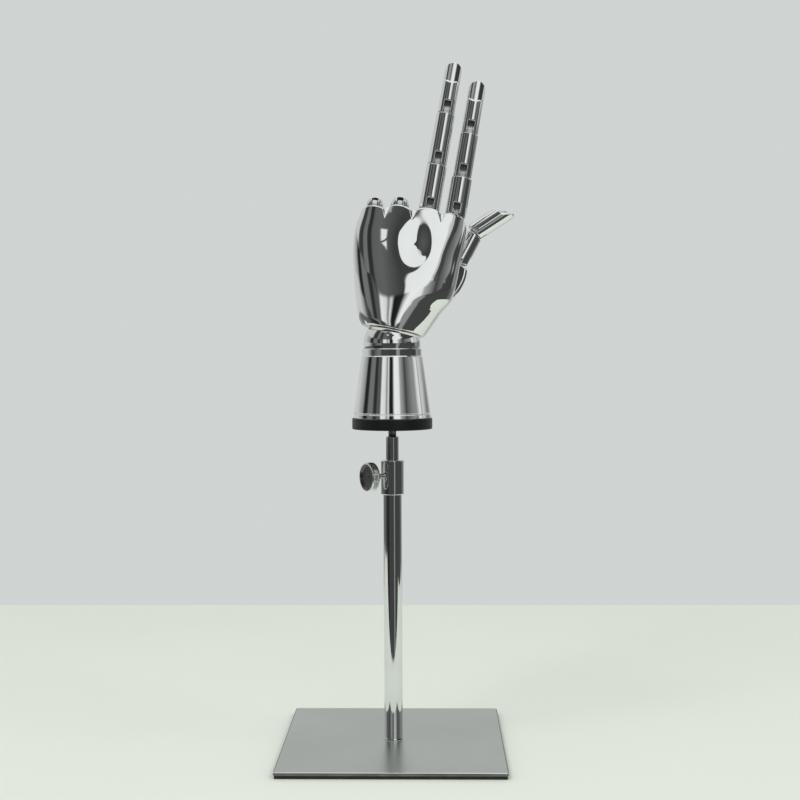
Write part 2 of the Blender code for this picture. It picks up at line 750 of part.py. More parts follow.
def finger_piece(name, parent, place, radius, bottom, top, bevels, nail=None):
    """One finger piece about its own pin: Z along the finger, Y to the palm side.

    bottom is None for a ball-shaped lower end. bevels are the angles of its lower and upper end,
    and the upper end is a fingertip where the measures of a nail are given.
    """
    outline = [(0, -radius), *arc(radius, -90, 0, 5)[1:]]
    if bottom is not None:
        outline = [(0, bottom), (radius, bottom)]
    if nail:
        outline += fingertip(radius, top, nail[2])
    else:
        outline += [(radius * FINGER_TAPER, top), (0, top)]
    piece = solid(name, turned(outline, FINGER_SIDES), "chrome", parent, place)
    wide = 4 * radius
    if nail:
        cuticle = top - nail[0]
        step = -(radius * FINGER_TAPER - NAIL_STEP)
        over = top + CLEAR
        outline = [(step, cuticle), (nail[1], over), (-FAR, over), (-FAR, cuticle)]
        cut(piece, "nail", slab(outline, wide))
    else:
        rise = math.tan(math.radians(bevels[1]))
        over = top + FAR
        outline = [(-CLEAR, top + CLEAR * rise), (FAR, top - FAR * rise), (FAR, over), (-CLEAR, over)]
        cut(piece, "upper_bevel", slab(outline, wide))
        pin = Matrix.Translation((0, 0, top + RUN / 2 + PIN_LIFT))
        join(piece, "tongue", tongue(PIN_LIFT + TONGUE_ROOT), pin)
        cut(piece, "tongue_bore", pin_hole_in_tongue(), pin)
    if bottom is not None:
        rise = math.tan(math.radians(bevels[0]))
        start = bottom - CLEAR * rise
        outline = [(-CLEAR, start), (FAR, bottom + FAR * rise), (FAR, -FAR), (-CLEAR, -FAR)]
        cut(piece, "lower_bevel", slab(outline, wide))
    outline = [
        (FAR, -FAR / 3),
        (-FAR, -FAR / 3),
        (-FAR, SLOT_ROOF_BACK),
        (-radius, SLOT_ROOF_BACK),
        (radius, SLOT_ROOF_FRONT),
        (FAR, SLOT_ROOF_FRONT),
    ]
    cut(piece, "slot", slab(outline, SLOT_WIDTH))
    cut(piece, "pin_bore", pin_hole())
    half = math.sqrt(radius**2 - PIN_BORE**2) - PIN_SUNK
    solid(name + "_pin", across(cylinder(PIN_RADIUS, -half, half, PIN_SIDES)), "pin steel", piece)
    return piece


def fingertip(radius, top, length_share):
    """Outline of a domed fingertip, its dome as long as this share of its radius."""
    end = radius * FINGER_TAPER
    length = length_share * end
    turns = [math.radians(15 * step) for step in range(1, 6)]
    dome = [(end * math.cos(a), top - length + length * math.sin(a)) for a in turns]
    return [(end, top - length), *dome, (0, top)]


def make_finger(palm, finger):
    sizes = FINGERS[finger]
    radii = [diameter / 2 * MM for diameter in sizes["diameters"]]
    lengths = [length * MM for length in sizes["lengths"]]
    bends = [Matrix.Rotation(math.radians(-bend), 4, "X") for bend in sizes["bends"]]
    bevels = (FINGER_BEVEL, FINGER_BEVEL)
    base = RUN / 2 - PIN_LIFT
    lean = Matrix.Rotation(math.radians(sizes["lean"]), 4, "Y")
    knuckle = Matrix.Translation(finger_pin(finger)) @ lean @ bends[0]
    end = lengths[0] - RUN / 2
    proximal = finger_piece(finger + "_proximal", palm, knuckle, radii[0], None, end, bevels)
    joint = Matrix.Translation((0, 0, lengths[0] + PIN_LIFT)) @ bends[1]
    end = lengths[1] - PIN_LIFT - RUN / 2
    middle = finger_piece(finger + "_middle", proximal, joint, radii[1], base, end, bevels)
    joint = Matrix.Translation((0, 0, lengths[1])) @ bends[2]
    end = lengths[2] - PIN_LIFT
    finger_piece(finger + "_distal", middle, joint, radii[2], base, end, bevels, FINGER_NAIL)


def thumb_base_body():
    """A dome on the flat, loaf-shaped along the thumb, in the palm's axes about the pivot."""
    along = Vector((math.sin(THUMB_ANGLE), 0, math.cos(THUMB_ANGLE)))
    side = Vector((math.cos(THUMB_ANGLE), 0, -math.sin(THUMB_ANGLE)))
    depth = Vector((0, 1, 0))
    end = Vector((THUMB_JOINT[0], THUMB_FLAT, THUMB_JOINT[1])) - thumb_pivot() - RUN / 2 * along
    rings = []
    for share in (0, 0.04, 0.1, 0.18, 0.28, 0.4, 0.52, 0.64, 0.76, 0.86, 0.94, 1.0):
        half = smooth_through(THUMB_BASE_SECTIONS, share, 1) * MM
        height = smooth_through(THUMB_BASE_SECTIONS, share, 2) * MM
        middle = end - (1 - share) * THUMB_BASE_LENGTH * along + RUN * depth
        turns = [math.pi * step / 12 for step in range(13)]
        rings.append([middle + half * math.cos(a) * side + height * math.sin(a) * depth for a in turns])
    return skin(rings)


def thumb_turn(angle):
    """Stands a finger piece's frame up along the thumb, bending to the right."""
    return Matrix.Rotation(angle, 4, "Y") @ Matrix.Rotation(-math.pi / 2, 4, "Z")


def make_thumb(palm):
    pivot = thumb_pivot()
    base = solid("thumb_base", thumb_base_body(), "chrome", palm, Matrix.Translation(pivot))
    joint = Vector((THUMB_JOINT[0], THUMB_DEPTH, THUMB_JOINT[1])) - pivot
    frame = Matrix.Translation(joint) @ thumb_turn(THUMB_ANGLE)
    rise = math.tan(math.radians(THUMB_BASE_BEVEL))
    outline = [(-CLEAR, CLEAR * rise), (FAR, -FAR * rise), (FAR, FAR), (-CLEAR, FAR)]
    cut(base, "bevel", slab(outline, FAR), frame)
    pin = frame @ Matrix.Translation((0, 0, PIN_LIFT))
    join(base, "tongue", tongue(PIN_LIFT + TONGUE_ROOT), pin)
    cut(base, "tongue_bore", pin_hole_in_tongue(), pin)
    hole, head_hole = PIVOT_RADIUS + RUN, PIVOT_HEAD + RUN
    outline = [
        (0, -FAR),
        (hole, -FAR),
        (hole, PIVOT_HEAD_BOTTOM),
        (head_hole, PIVOT_HEAD_BOTTOM),
        (head_hole, FAR),
        (0, FAR),
    ]
    cut(base, "pivot_hole", turned(outline, 14), towards_palm_side((0, 0, 0)))
    outline = [
        (0, -PIVOT_DEPTH),
        (PIVOT_RADIUS, -PIVOT_DEPTH),
        (PIVOT_RADIUS, PIVOT_HEAD_BOTTOM + RUN),
        (PIVOT_HEAD, PIVOT_HEAD_BOTTOM + RUN),
        (PIVOT_HEAD, PIVOT_HEAD_TOP),
        (0, PIVOT_HEAD_TOP),
    ]
    solid("thumb_pivot_screw", turned(outline, 14), "pin steel", palm, towards_palm_side(pivot))

    bends = [Matrix.Rotation(math.radians(-bend), 4, "X") for bend in THUMB_BENDS]
    radii = [diameter / 2 for diameter in THUMB_DIAMETERS]
    bevels = (THUMB_BASE_BEVEL, THUMB_TIP_BEVEL)
    start = RUN / 2 - PIN_LIFT
    end = THUMB_LENGTHS[0] - PIN_LIFT - RUN / 2
    proximal = finger_piece("thumb_proximal", base, pin @ bends[0], radii[0], start, end, bevels)
    joint = Matrix.Translation((0, 0, THUMB_LENGTHS[0])) @ bends[1]
    end = THUMB_LENGTHS[1] - PIN_LIFT
    bevels = (THUMB_TIP_BEVEL, None)
    finger_piece("thumb_distal", proximal, joint, radii[1], start, end, bevels, THUMB_NAIL)


clear_scene()
make_stand()
make_clamp_screw()
make_rod()
make_forearm()
make_wrist()
hand = make_palm()
for digit in FINGERS:
    make_finger(hand, digit)
make_thumb(hand)
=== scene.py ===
"""Looks of the jointed display hand: its visible pieces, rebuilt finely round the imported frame.

Shapes are written in millimetres in their own frames, and placed in the part's frame in metres.
"""

import json
import math

import bpy
import numpy as np
from mathutils import Matrix, Vector


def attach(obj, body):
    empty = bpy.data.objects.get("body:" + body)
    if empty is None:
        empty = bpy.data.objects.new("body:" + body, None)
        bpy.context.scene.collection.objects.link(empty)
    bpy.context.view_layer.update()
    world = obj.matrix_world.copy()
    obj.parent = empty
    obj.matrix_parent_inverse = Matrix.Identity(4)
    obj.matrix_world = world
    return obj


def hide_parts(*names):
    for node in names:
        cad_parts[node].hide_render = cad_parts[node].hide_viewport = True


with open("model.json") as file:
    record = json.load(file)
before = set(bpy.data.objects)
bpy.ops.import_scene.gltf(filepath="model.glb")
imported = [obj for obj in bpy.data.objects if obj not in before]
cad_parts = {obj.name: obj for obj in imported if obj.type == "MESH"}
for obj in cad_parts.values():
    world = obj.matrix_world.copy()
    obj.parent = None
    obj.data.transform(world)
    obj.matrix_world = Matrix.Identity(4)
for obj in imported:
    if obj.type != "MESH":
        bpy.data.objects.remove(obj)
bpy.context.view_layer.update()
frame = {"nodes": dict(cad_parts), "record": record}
BODY = {node: body for body, nodes in frame["record"]["behaviour"]["bodies"].items() for node in nodes}
SLOT = {entry["node"]: entry["material_slot"] for entry in frame["record"]["subparts"]}
MM = 0.001

# Fits, as in the solids
SEAT = 0.1
RUN = 0.3

# Rounded edges of turned pieces
FINE = 0.2
SMALL = 0.3
MEDIUM = 0.4
BOLD = 0.8
FILLET_STEPS = 5
FILLET_REACH = 0.45
SHARP_ANGLE = math.radians(40)

# Pieces made from fields: grid steps, and how points settle on the surface
PALM_STEP = 0.7
PIECE_STEP = 0.5
TIP_STEP = 0.42
SLOPE_STEP = 0.03
SETTLE_ROUNDS = 4
SETTLE_REACH = 0.6
LEAST_SLOPE = 0.05
LEAST_SIZE = 0.02

# Stand; a pair gives the bottom and the top of a piece
PLATE_SIDE = 190
PLATE_CORNER = 2.5
PLATE_CORNER_STEPS = 8
PLATE_BOTTOM = 2.4
PLATE_TOP = 5.6
PLATE_EDGE = 1.0
PLATE_EDGE_CUT = 0.3
TUBE_RADIUS = 8
TUBE_BORE = 6.6
TUBE_BEAD = 0.5
TUBE_BEAD_HEIGHT = 0.3
TUBE_BEAD_TOP = 1.1
TUBE_TOP = 228.2
COLLAR = (219.3, 249.0)
COLLAR_RADIUS = 10
COLLAR_SEAT = 228.3
ROD_RADIUS = 5.6
ROD = (88, 269.4)
ROD_FOOT_EDGE = 0.5
STUD_RADIUS = 3.6
STUD = (257.5, 283.2)
STUD_PITCH = 1.25
STUD_THREAD_DEPTH = 0.35
STUD_POINTS = 160
STUD_SIDES = 48

# Clamp screw and knob; places along the screw are counted from the pole's axis
CLAMP_HEIGHT = 235.4
CLAMP_TURN = math.radians(212)
CLAMP_STUD_RADIUS = 2.4
CLAMP_STUD = (8.2, 23.7)
CLAMP_THREAD = (8.3, 17.2)
CLAMP_PLAIN_START = 17.6
CLAMP_PITCH = 0.8
CLAMP_THREAD_DEPTH = 0.25
CLAMP_POINTS = 90
CLAMP_SIDES = 40
KNOB_RADIUS = 12.4
KNOB_FACE = 26.2
KNOB_BACK = 19.2
KNOB_BORE_END = 23.8
KNOB_RIM = 1.6
KNOB_HUB = 5
KNOB_HUB_LENGTH = 1.5
KNOB_HUB_EDGE = 0.5
KNOB_DISH = 1.5
KNOB_DISH_SLOPE = 1.5
KNOB_BOSS = 4.5
KNOB_BOSS_STEP = 0.2
DISH_FINISH_INSET = 1.8
DISH_FINISH_DEPTH = 2
KNOB_GROOVES = 64
KNURL_DEPTH = 0.45
KNURL_MARGIN = 0.9
KNURL_SIDES = 6
# The knob's straight edge, at its full radius and longer than this, is divided into rings for the knurl
KNURL_RINGS = 6
KNURL_SHORTEST = 1
KNURL_TOLERANCE = 0.01

# Forearm and wrist
DISC = (276.2, 285.6)
DISC_RADIUS = 34.7
DISC_EDGE = 0.9
DISC_SOCKET = 6.1
DISC_SIDES = 160
INSERT_TOP = 284.3
FOREARM_BOTTOM = 285.7
FOREARM_RADIUS = 34
FOREARM_EDGE = 0.5
FOREARM_FLANGE_RADIUS = 26.5
FOREARM_SIDES = 192
# Fine groove near the forearm's foot: rise above the foot, depth
FOREARM_GROOVE = [(3.2, 0), (3.7, 0.4), (4.3, 0.4), (4.8, 0)]
GROOVE_EDGE = 0.1
# Neck of the forearm, above a narrow ledge: radius, height and fillet
FOREARM_NECK = [(26.6, 338.6, 0.3), (25.9, 339.4, 0.3), (25.8, 345.0, 0.3), (25.45, 345.6, 0.2)]
# Inside of the forearm below its cup: radius, height
FOREARM_HOLLOW = [(8, 309), (26.9, 309), (28.5, 295.7), (26.5, 292.2)]
WRIST_HEIGHT = 349.1
WRIST_TILT = math.radians(8)
WRIST_LEAN = math.radians(5)
BALL_RADIUS = 24.8
BALL_TOP_OPENING = 13.6
BALL_BOTTOM_OPENING = 15
# Waist of the ball's hole: radius, height over the ball's centre
BALL_WAIST = [(8, 12), (8, -5)]
BALL_STEPS = 60
BALL_SIDES = 160
CUP_RADIUS = 25.3
CUP_DROP = 3.5
CUP_BOTTOM = -70
CUP_STEPS = 12

# Palm: height above the wrist, left edge, right edge, depth to the back of the hand, depth to the palm side
PALM_SECTIONS = [
    (11.5, -27.9, 26.7, 27.0, 27.0),
    (17.5, -31.6, 30.2, 27.2, 26.6),
    (34.0, -36.2, 39.2, 27.1, 22.6),
    (45.0, -38.9, 46.2, 26.5, 20.2),
    (60.0, -42.0, 48.2, 24.6, 18.2),
    (78.0, -44.8, 49.0, 21.6, 16.8),
    (95.0, -45.3, 50.2, 18.4, 15.6),
    (112.0, -42.0, 50.2, 14.8, 14.0),
    (127.0, -39.0, 48.0, 12.4, 12.4),
]
PALM_BOX = ((-47, -29, 8), (52, 28, 126))
PALM_LEAST_SLOPE = 0.01
PALM_RIM = 11.5
PALM_RIM_EDGE = 1.2
PALM_CUP_EDGE = 0.8
PALM_TOP = 127.0
PALM_RIM_SLOPE = -0.057
PALM_RIM_SLOPE_RISE = 20
PALM_ROUND = 2.0
PALM_SQUARE = 2.3
PALM_SQUARE_RISE = 45
PETAL_HALF = 12
PETAL_LEFT = -42
PETAL_RIGHT = 50
LIP_EDGE = 1.6
LIP_DROP = 4.0
LIP_BELOW_PIN = 1.4
LIP_BACK = 8.4
LIP_CORNER = -33
LIP_CORNER_WIDTH = 9
LIP_CORNER_BACK = 1
# Hollow in the back of the hand: place, depth and widths
HOLLOW_PLACE = (8.5, 87)
HOLLOW_DEPTH = 2.7
HOLLOW_WIDTHS = (8, 11)
HOLLOW_FADE = 6
NOTCH_DEPTH = 11
NOTCH_RADIUS = 5
NOTCH_EDGE = 0.6
NOTCH_FALL = 0.9
KNUCKLE_PLAY = 0.6
KNUCKLE_EDGE = 0.5

# Fingers: place of the knuckle pin, sideways lean, lengths, diameters and rest bends of the three pieces
FINGERS = {
    "index": ((39.3, 120.5), 1.9, (31.2, 39.1, 47.7), (18.8, 16.6, 15.2), (0, 0, 0)),
    "middle": ((16.0, 121.5), 2.1, (38.2, 45.9, 46.4), (18.4, 16.9, 15.2), (0, 0, 0)),
    "ring": ((-9.8, 120.7), 0.0, (34.5, 42.0, 44.0), (16.0, 14.6, 13.2), (78, 76, 24)),
    "pinky": ((-31.4, 118.0), 0.0, (27.0, 33.0, 39.0), (14.6, 13.4, 12.2), (78, 76, 24)),
}
FINGER_TAPER = 0.975
FINGER_BEVEL = 43.0
FINGER_EDGE = 0.9
PIN_LIFT = 3
PIN_BORE = 1.38
PIN_EDGE = 0.3
TONGUE_WIDTH = 5
TONGUE_ROUND = 4.6
TONGUE_ROOT = 9
TONGUE_EDGE = 0.5
SLOT_WIDTH = 5.6
SLOT_EDGE = 0.9
SLOT_ROOF_BACK = 7.8
SLOT_ROOF_FRONT = 5.8
# How far the painted shade of a slot or the painted highlight of a tongue reaches past it: at its sides, its
# end, below the skin
SLOT_SHADE_REACH = (0.15, 0.2, 0.8)
TONGUE_HIGHLIGHT_REACH = (0.2, 0.4)
PALM_TONGUE_HIGHLIGHT_REACH = (0.3, 0.4)
NAIL_EDGE = 0.4
NAIL_OVERRUN = 1
NAIL_STEP = 0.9
NAIL_ARCH = 3.5
NAIL_SLOPE = 1.2
NAIL_ROUND = 1.1
# Nails: length, depth of the front edge, length of the fingertip's dome for its radius
FINGER_NAIL = (20, -1.8, 1.15)
THUMB_NAIL = (14.5, 7.2, 0.4)

# Thumb
THUMB_FLAT = 8
THUMB_DEPTH = 17
THUMB_ANGLE = math.radians(20)
THUMB_JOINT = (47.9, 79.6)
THUMB_PIVOT = (37, 50)
THUMB_BASE_LENGTH = 44
THUMB_LENGTHS = (30, 40)
THUMB_DIAMETERS = (15.6, 17.0)
THUMB_BENDS = (0, 29)
THUMB_BASE_BEVEL = 12.0
THUMB_TIP_BEVEL = 16.0
THUMB_BASE_BOX = ((18, 8, 33), (64, 30, 92))
THUMB_BASE_LEAST_SLOPE = 0.004
THUMB_FOOT_EDGE = 3.0
THUMB_HEEL_EDGE = 2.0
THUMB_END_EDGE = 0.8
# Thumb base: share of its length, half width, height over the flat
THUMB_BASE_SECTIONS = [
    (0.0, 3.5, 5.0),
    (0.1, 6.8, 10.0),
    (0.25, 10.0, 15.0),
    (0.5, 12.2, 18.6),
    (0.75, 12.2, 19.0),
    (0.92, 10.3, 18.0),
    (1.0, 8.9, 17.2),
]
RECESS_EDGE = 0.8
RECESS_RADIUS = 17
RECESS_TOP = 112
RECESS_LEAN = 6 / 62
PIVOT_EDGE = 0.3
PIVOT_HOLE = 2.3
PIVOT_HEAD_EDGE = 0.5
PIVOT_HEAD_HOLE = 4.1
PIVOT_HEAD_BOTTOM = 11

# Camera, fitted to the plate's corners and the pole
CAMERA_PLACE = (0.0314, -1.1282, 0.3446)
CAMERA_TURN = (math.radians(90 - 2.21), math.radians(-0.25), math.radians(1.25))
CAMERA_FOCAL = 1305 / 800
SENSOR = 36

# Table top, in metres: left and right, near and far. Its far edge is the photo's horizon line
FLOOR_ACROSS = (-1.05, 0.78)
FLOOR_DEEP = (-0.32, 0.622)

# Square soft lamps: place and side in metres, power in watts
LAMP_AIM = (0, 0, 0.3)
LAMPS = {
    "key": ((-0.9, -0.9, 1.9), 0.9, 10.5),
    "fill": ((1.3, -0.5, 1.7), 0.8, 6),
}


def smooth_table(rows, column, points):
    """A smooth curve through rows of (x, values...), read at these points."""
    xs = np.array([row[0] for row in rows], float)
    ys = np.array([row[column] for row in rows], float)
    low = np.maximum(np.arange(len(rows)) - 1, 0)
    high = np.minimum(np.arange(len(rows)) + 1, len(rows) - 1)
    slopes = (ys[high] - ys[low]) / (xs[high] - xs[low])
    k = np.clip(np.searchsorted(xs, points, side="right") - 1, 0, len(rows) - 2)
    span = xs[k + 1] - xs[k]
    t = (points - xs[k]) / span
    value = ys[k] * (1 + 2 * t) * (1 - t) ** 2 + ys[k + 1] * t * t * (3 - 2 * t)
    return value + span * (slopes[k] * t * (1 - t) ** 2 - slopes[k + 1] * t * t * (1 - t))


def soft_max(a, b, round_over):
    """The larger of two fields, with the edge between them rounded."""
    share = np.clip(0.5 + 0.5 * (a - b) / round_over, 0, 1)
    return b + (a - b) * share + round_over * share * (1 - share)


def slope_of(field, points, step=SLOPE_STEP):
    """Gradient of a field at points, by differences."""
    slopes = []
    for axis in range(3):
        shift = np.zeros(3)
        shift[axis] = step
        ahead, behind = points + shift, points - shift
        slopes.append((field(*ahead.T) - field(*behind.T)) / (2 * step))
    return np.stack(slopes, 1)


def surface(field, low, high, step):
    """Points, outward normals and quads of a field's zero surface inside a box."""
    axes = [np.arange(a - 2 * step, b + 2.5 * step, step) for a, b in zip(low, high)]
    values = field(*np.meshgrid(*axes, indexing="ij"))
    inside = values < 0
    shape = np.array(values.shape) - 1
    corners = [np.array(((n >> 2) & 1, (n >> 1) & 1, n & 1)) for n in range(8)]
    total = np.zeros(shape, int)
    for corner in corners:
        total += inside[tuple(slice(c, c + s) for c, s in zip(corner, shape))]
    crossed = (total > 0) & (total < 8)
    cells = np.argwhere(crossed)
    numbers = np.full(crossed.shape, -1)
    numbers[crossed] = np.arange(len(cells))
    at = [values[tuple((cells + corner).T)] for corner in corners]
    place = np.zeros((len(cells), 3))
    count = np.zeros(len(cells))
    for a in range(8):
        for bit in (1, 2, 4):
            b = a | bit
            if b == a:
                continue
            hit = (at[a] < 0) != (at[b] < 0)
            share = np.where(hit, at[a] / np.where(hit, at[a] - at[b], 1), 0)
            place += hit[:, None] * (corners[a] + share[:, None] * (corners[b] - corners[a]))
            count += hit
    start = np.array([axis[0] for axis in axes])
    points = start + step * (cells + place / count[:, None])
    quads = []
    around = ((-1, -1), (0, -1), (0, 0), (-1, 0))
    for axis in range(3):
        ahead = np.roll(inside, -1, axis)
        change = inside != ahead
        change[tuple(slice(-1, None) if i == axis else slice(None) for i in range(3))] = False
        spots = np.argwhere(change)
        u, v = np.eye(3, dtype=int)[(axis + 1) % 3], np.eye(3, dtype=int)[(axis + 2) % 3]
        ring = [numbers[tuple((spots + du * u + dv * v).T)] for du, dv in around]
        quad = np.stack(ring, 1)
        outwards = inside[tuple(spots.T)]
        quads.append(np.where(outwards[:, None], quad, quad[:, ::-1]))
    for _ in range(SETTLE_ROUNDS):
        slope = slope_of(field, points)
        fall = field(*points.T) / np.maximum((slope**2).sum(1), LEAST_SLOPE)
        move = fall[:, None] * slope
        reach = np.maximum(np.linalg.norm(move, axis=1, keepdims=True) / (SETTLE_REACH * step), 1)
        points = points - move / reach
    slope = slope_of(field, points)
    normals = slope / np.maximum(np.linalg.norm(slope, axis=1, keepdims=True), 1e-9)
    return points, normals, np.concatenate(quads)


def piece_from(node, mesh, materials):
    """A piece that stands for a node: it rides on the node's body and takes the materials it is given."""
    for material in materials:
        mesh.materials.append(material)
    obj = bpy.data.objects.new(node + "_skin", mesh)
    bpy.context.scene.collection.objects.link(obj)
    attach(obj, BODY[node])
    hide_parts(node)
    return obj


def modelled(node, field, low, high, step, place, materials, finishes=None):
    """A piece from a field; finishes gives the number of the material at each place."""
    points, normals, quads = surface(field, low, high, step)
    mesh = bpy.data.meshes.new(node + "_skin")
    turn = np.array(place.to_3x3())
    world = (points @ turn.T + np.array(place.translation)) * MM
    mesh.from_pydata(world.tolist(), [], quads.tolist())
    mesh.shade_smooth()
    mesh.normals_split_custom_set_from_vertices((normals @ turn.T).tolist())
    if finishes:
        centres = points[quads].mean(1)
        mesh.polygons.foreach_set("material_index", finishes(*centres.T).astype(np.int32))
    piece_from(node, mesh, materials)


def filleted(corners, closed=True):
    """A (radius, height) outline whose corners (radius, height, fillet) are rounded."""
    outline = []
    for i, (r, z, *fillet) in enumerate(corners):
        here = Vector((r, z))
        if not fillet or (not closed and i in (0, len(corners) - 1)):
            outline.append((r, z))
            continue
        before = Vector(corners[i - 1][:2]) - here
        after = Vector(corners[(i + 1) % len(corners)][:2]) - here
        half = before.angle(after) / 2
        reach = min(fillet[0] / math.tan(half), FILLET_REACH * before.length, FILLET_REACH * after.length)
        start, end = here + reach * before.normalized(), here + reach * after.normalized()
        for k in range(FILLET_STEPS + 1):
            t = k / FILLET_STEPS
            outline.append(tuple((1 - t) ** 2 * start + 2 * t * (1 - t) * here + t * t * end))
    return outline


def arc(radius, start, end, steps, centre=0.0):
    """(radius, height) points on a circle about the axis point at this height; angles up from level."""
    turns = [math.radians(start + (end - start) * i / steps) for i in range(steps + 1)]
    return [(radius * math.cos(a), centre + radius * math.sin(a)) for a in turns]


def turned(node, outline, material, place=Matrix(), sides=128, shape=None, inlay=None):
    """A piece turned about Z from a closed outline; shape may change each radius by height and angle.

    inlay is another finish, and the radius and height that it lies within and above.
    """
    points, faces, rings = [], [], []
    for r, z in outline:
        count = 1 if r == 0 else sides
        rings.append((len(points), count))
        for i in range(count):
            a = 2 * math.pi * i / sides
            radius = shape(r, z, a) if shape else r
            points.append(place @ Vector((radius * math.cos(a), radius * math.sin(a), z)) * MM)
    for (low, low_count), (high, high_count) in zip(rings, rings[1:] + rings[:1]):
        for i in range(sides):
            j = (i + 1) % sides
            ring = [low + i % low_count, low + j % low_count, high + j % high_count, high + i % high_count]
            face = list(dict.fromkeys(ring))
            if len(face) > 2:
                faces.append(face)
    mesh = bpy.data.meshes.new(node + "_skin")
    mesh.from_pydata(points, [], faces)
    mesh.validate()
    mesh.shade_smooth()
    mesh.set_sharp_from_angle(angle=SHARP_ANGLE)
    if inlay:
        back = place.inverted()
        for face in mesh.polygons:
            spot = back @ (face.center / MM)
            face.material_index = int(math.hypot(spot.x, spot.y) < inlay[1] and spot.z > inlay[2])
    obj = piece_from(node, mesh, [material, inlay[0]] if inlay else [material])
    weigh = obj.modifiers.new("weighted normals", "WEIGHTED_NORMAL")
    weigh.keep_sharp = True


# Where most values of a noise lie
NOISE_SPAN = (0.3, 0.7)


class Shader:
    """A node material with one main shader, and short ways to add and link nodes."""

    def __init__(self, name, **values):
        self.material = bpy.data.materials.new(name)
        self.material.use_nodes = True
        self.tree = self.material.node_tree
        self.main = self.tree.nodes["Principled BSDF"]
        for socket, value in values.items():
            self.main.inputs[socket.replace("_", " ").title().replace("Ior", "IOR")].default_value = value
        self.coords = self.tree.nodes.new("ShaderNodeTexCoord").outputs["Object"]

    def add(self, kind, links=(), **settings):
        node = self.tree.nodes.new("ShaderNode" + kind)
        for key, value in settings.items():
            if hasattr(node, key):
                setattr(node, key, value)
            else:
                node.inputs[key.replace("_", " ").title()].default_value = value
        for socket, source in dict(links).items():
            self.tree.links.new(source, node.inputs[socket])
        return node

    def stretched(self, scale):
        """Coordinates with a scale of their own along each axis."""
        node = self.add("Mapping", {"Vector": self.coords}, vector_type="POINT", scale=scale)
        return node.outputs["Vector"]

    def noise(self, scale, detail, vector=None, roughness=0.5):
        links = {"Vector": vector or self.coords}
        return self.add("TexNoise", links, scale=scale, detail=detail, roughness=roughness).outputs["Fac"]

    def span(self, source, low, high):
        """A noise spread from low to high."""
        node = self.add("MapRange", {"Value": source})
        for socket, value in zip(("From Min", "From Max", "To Min", "To Max"), (*NOISE_SPAN, low, high)):
            node.inputs[socket].default_value = value
        return node.outputs["Result"]

    def tint(self, source, first, second):
        """A noise turned into a colour between two."""
        ramp = self.add("ValToRGB", {"Fac": source})
        for stop, colour, spot in zip(ramp.color_ramp.elements, (first, second), NOISE_SPAN):
            stop.color = (*colour, 1)
            stop.position = spot
        return ramp.outputs["Color"]

    def bump(self, source, strength, distance):
        node = self.add("Bump", {"Height": source})
        node.inputs["Strength"].default_value = strength
        node.inputs["Distance"].default_value = distance
        self.tree.links.new(node.outputs["Normal"], self.main.inputs["Normal"])

    def link(self, source, socket):
        self.tree.links.new(source, self.main.inputs[socket])


def chrome(name, first, second, smooth, hazy, ripple):
    """Bright plating: a faint haze and a slight waviness that bends reflections."""
    shader = Shader(name, metallic=1.0)
    cloud = shader.noise(scale=38, detail=4)
    haze = shader.noise(scale=70, detail=5, roughness=0.6)
    wave = shader.noise(scale=30, detail=2)
    shader.link(shader.tint(cloud, first, second), "Base Color")
    shader.link(shader.span(haze, smooth, hazy), "Roughness")
    shader.bump(wave, strength=ripple, distance=0.001)
    return shader.material


def satin_steel():
    """Brushed plate: fine scratches along X, with soft blotches."""
    shader = Shader("satin_steel", metallic=1.0)
    lines = shader.noise(scale=1, detail=4, vector=shader.stretched((14, 900, 900)), roughness=0.6)
    cloud = shader.noise(scale=9, detail=3)
    shader.link(shader.tint(cloud, (0.525, 0.548, 0.522), (0.585, 0.608, 0.58)), "Base Color")
    shader.link(shader.span(lines, 0.27, 0.36), "Roughness")
    shader.bump(lines, strength=0.05, distance=0.0002)
    return shader.material


def plain(name, first, second, metallic, rough, grain, strength, **values):
    """A quiet finish: colour, gloss and grain vary slightly."""
    shader = Shader(name, metallic=metallic, **values)
    fine = shader.noise(scale=grain, detail=5)
    cloud = shader.noise(scale=grain / 8, detail=3)
    shader.link(shader.tint(cloud, first, second), "Base Color")
    shader.link(shader.span(fine, *rough), "Roughness")
    shader.bump(fine, strength, distance=0.0003)
    return shader.material


PLATED = chrome("plated_hand", (0.84, 0.85, 0.85), (0.88, 0.89, 0.885), 0.012, 0.05, 0.12)
CHROME = chrome("plated_steel", (0.74, 0.75, 0.75), (0.80, 0.81, 0.81), 0.03, 0.08, 0.01)
# Painted highlight: the tongues get a lighter, half-matte finish that catches the lamps, standing for the
# bright light on their tops
LIT_TONGUE = plain("tongue_painted_highlight", (0.62, 0.63, 0.62), (0.76, 0.77, 0.76), 0.35, (0.3, 0.45), 500, 0.1)
DISHED = plain("knob_dish", (0.10, 0.092, 0.095), (0.15, 0.14, 0.142), 1.0, (0.22, 0.36), 300, 0.1)
OILED = plain("oiled_stud", (0.09, 0.09, 0.085), (0.15, 0.15, 0.14), 1.0, (0.25, 0.4), 700, 0.1)
# Painted shade: the inside of each finger's slot is painted near-black, standing for the shade in the hollow
SHADED_SLOT = plain("slot_painted_shade", (0.03, 0.03, 0.03), (0.05, 0.05, 0.048), 0.6, (0.4, 0.6), 900, 0.2)
SATIN = satin_steel()
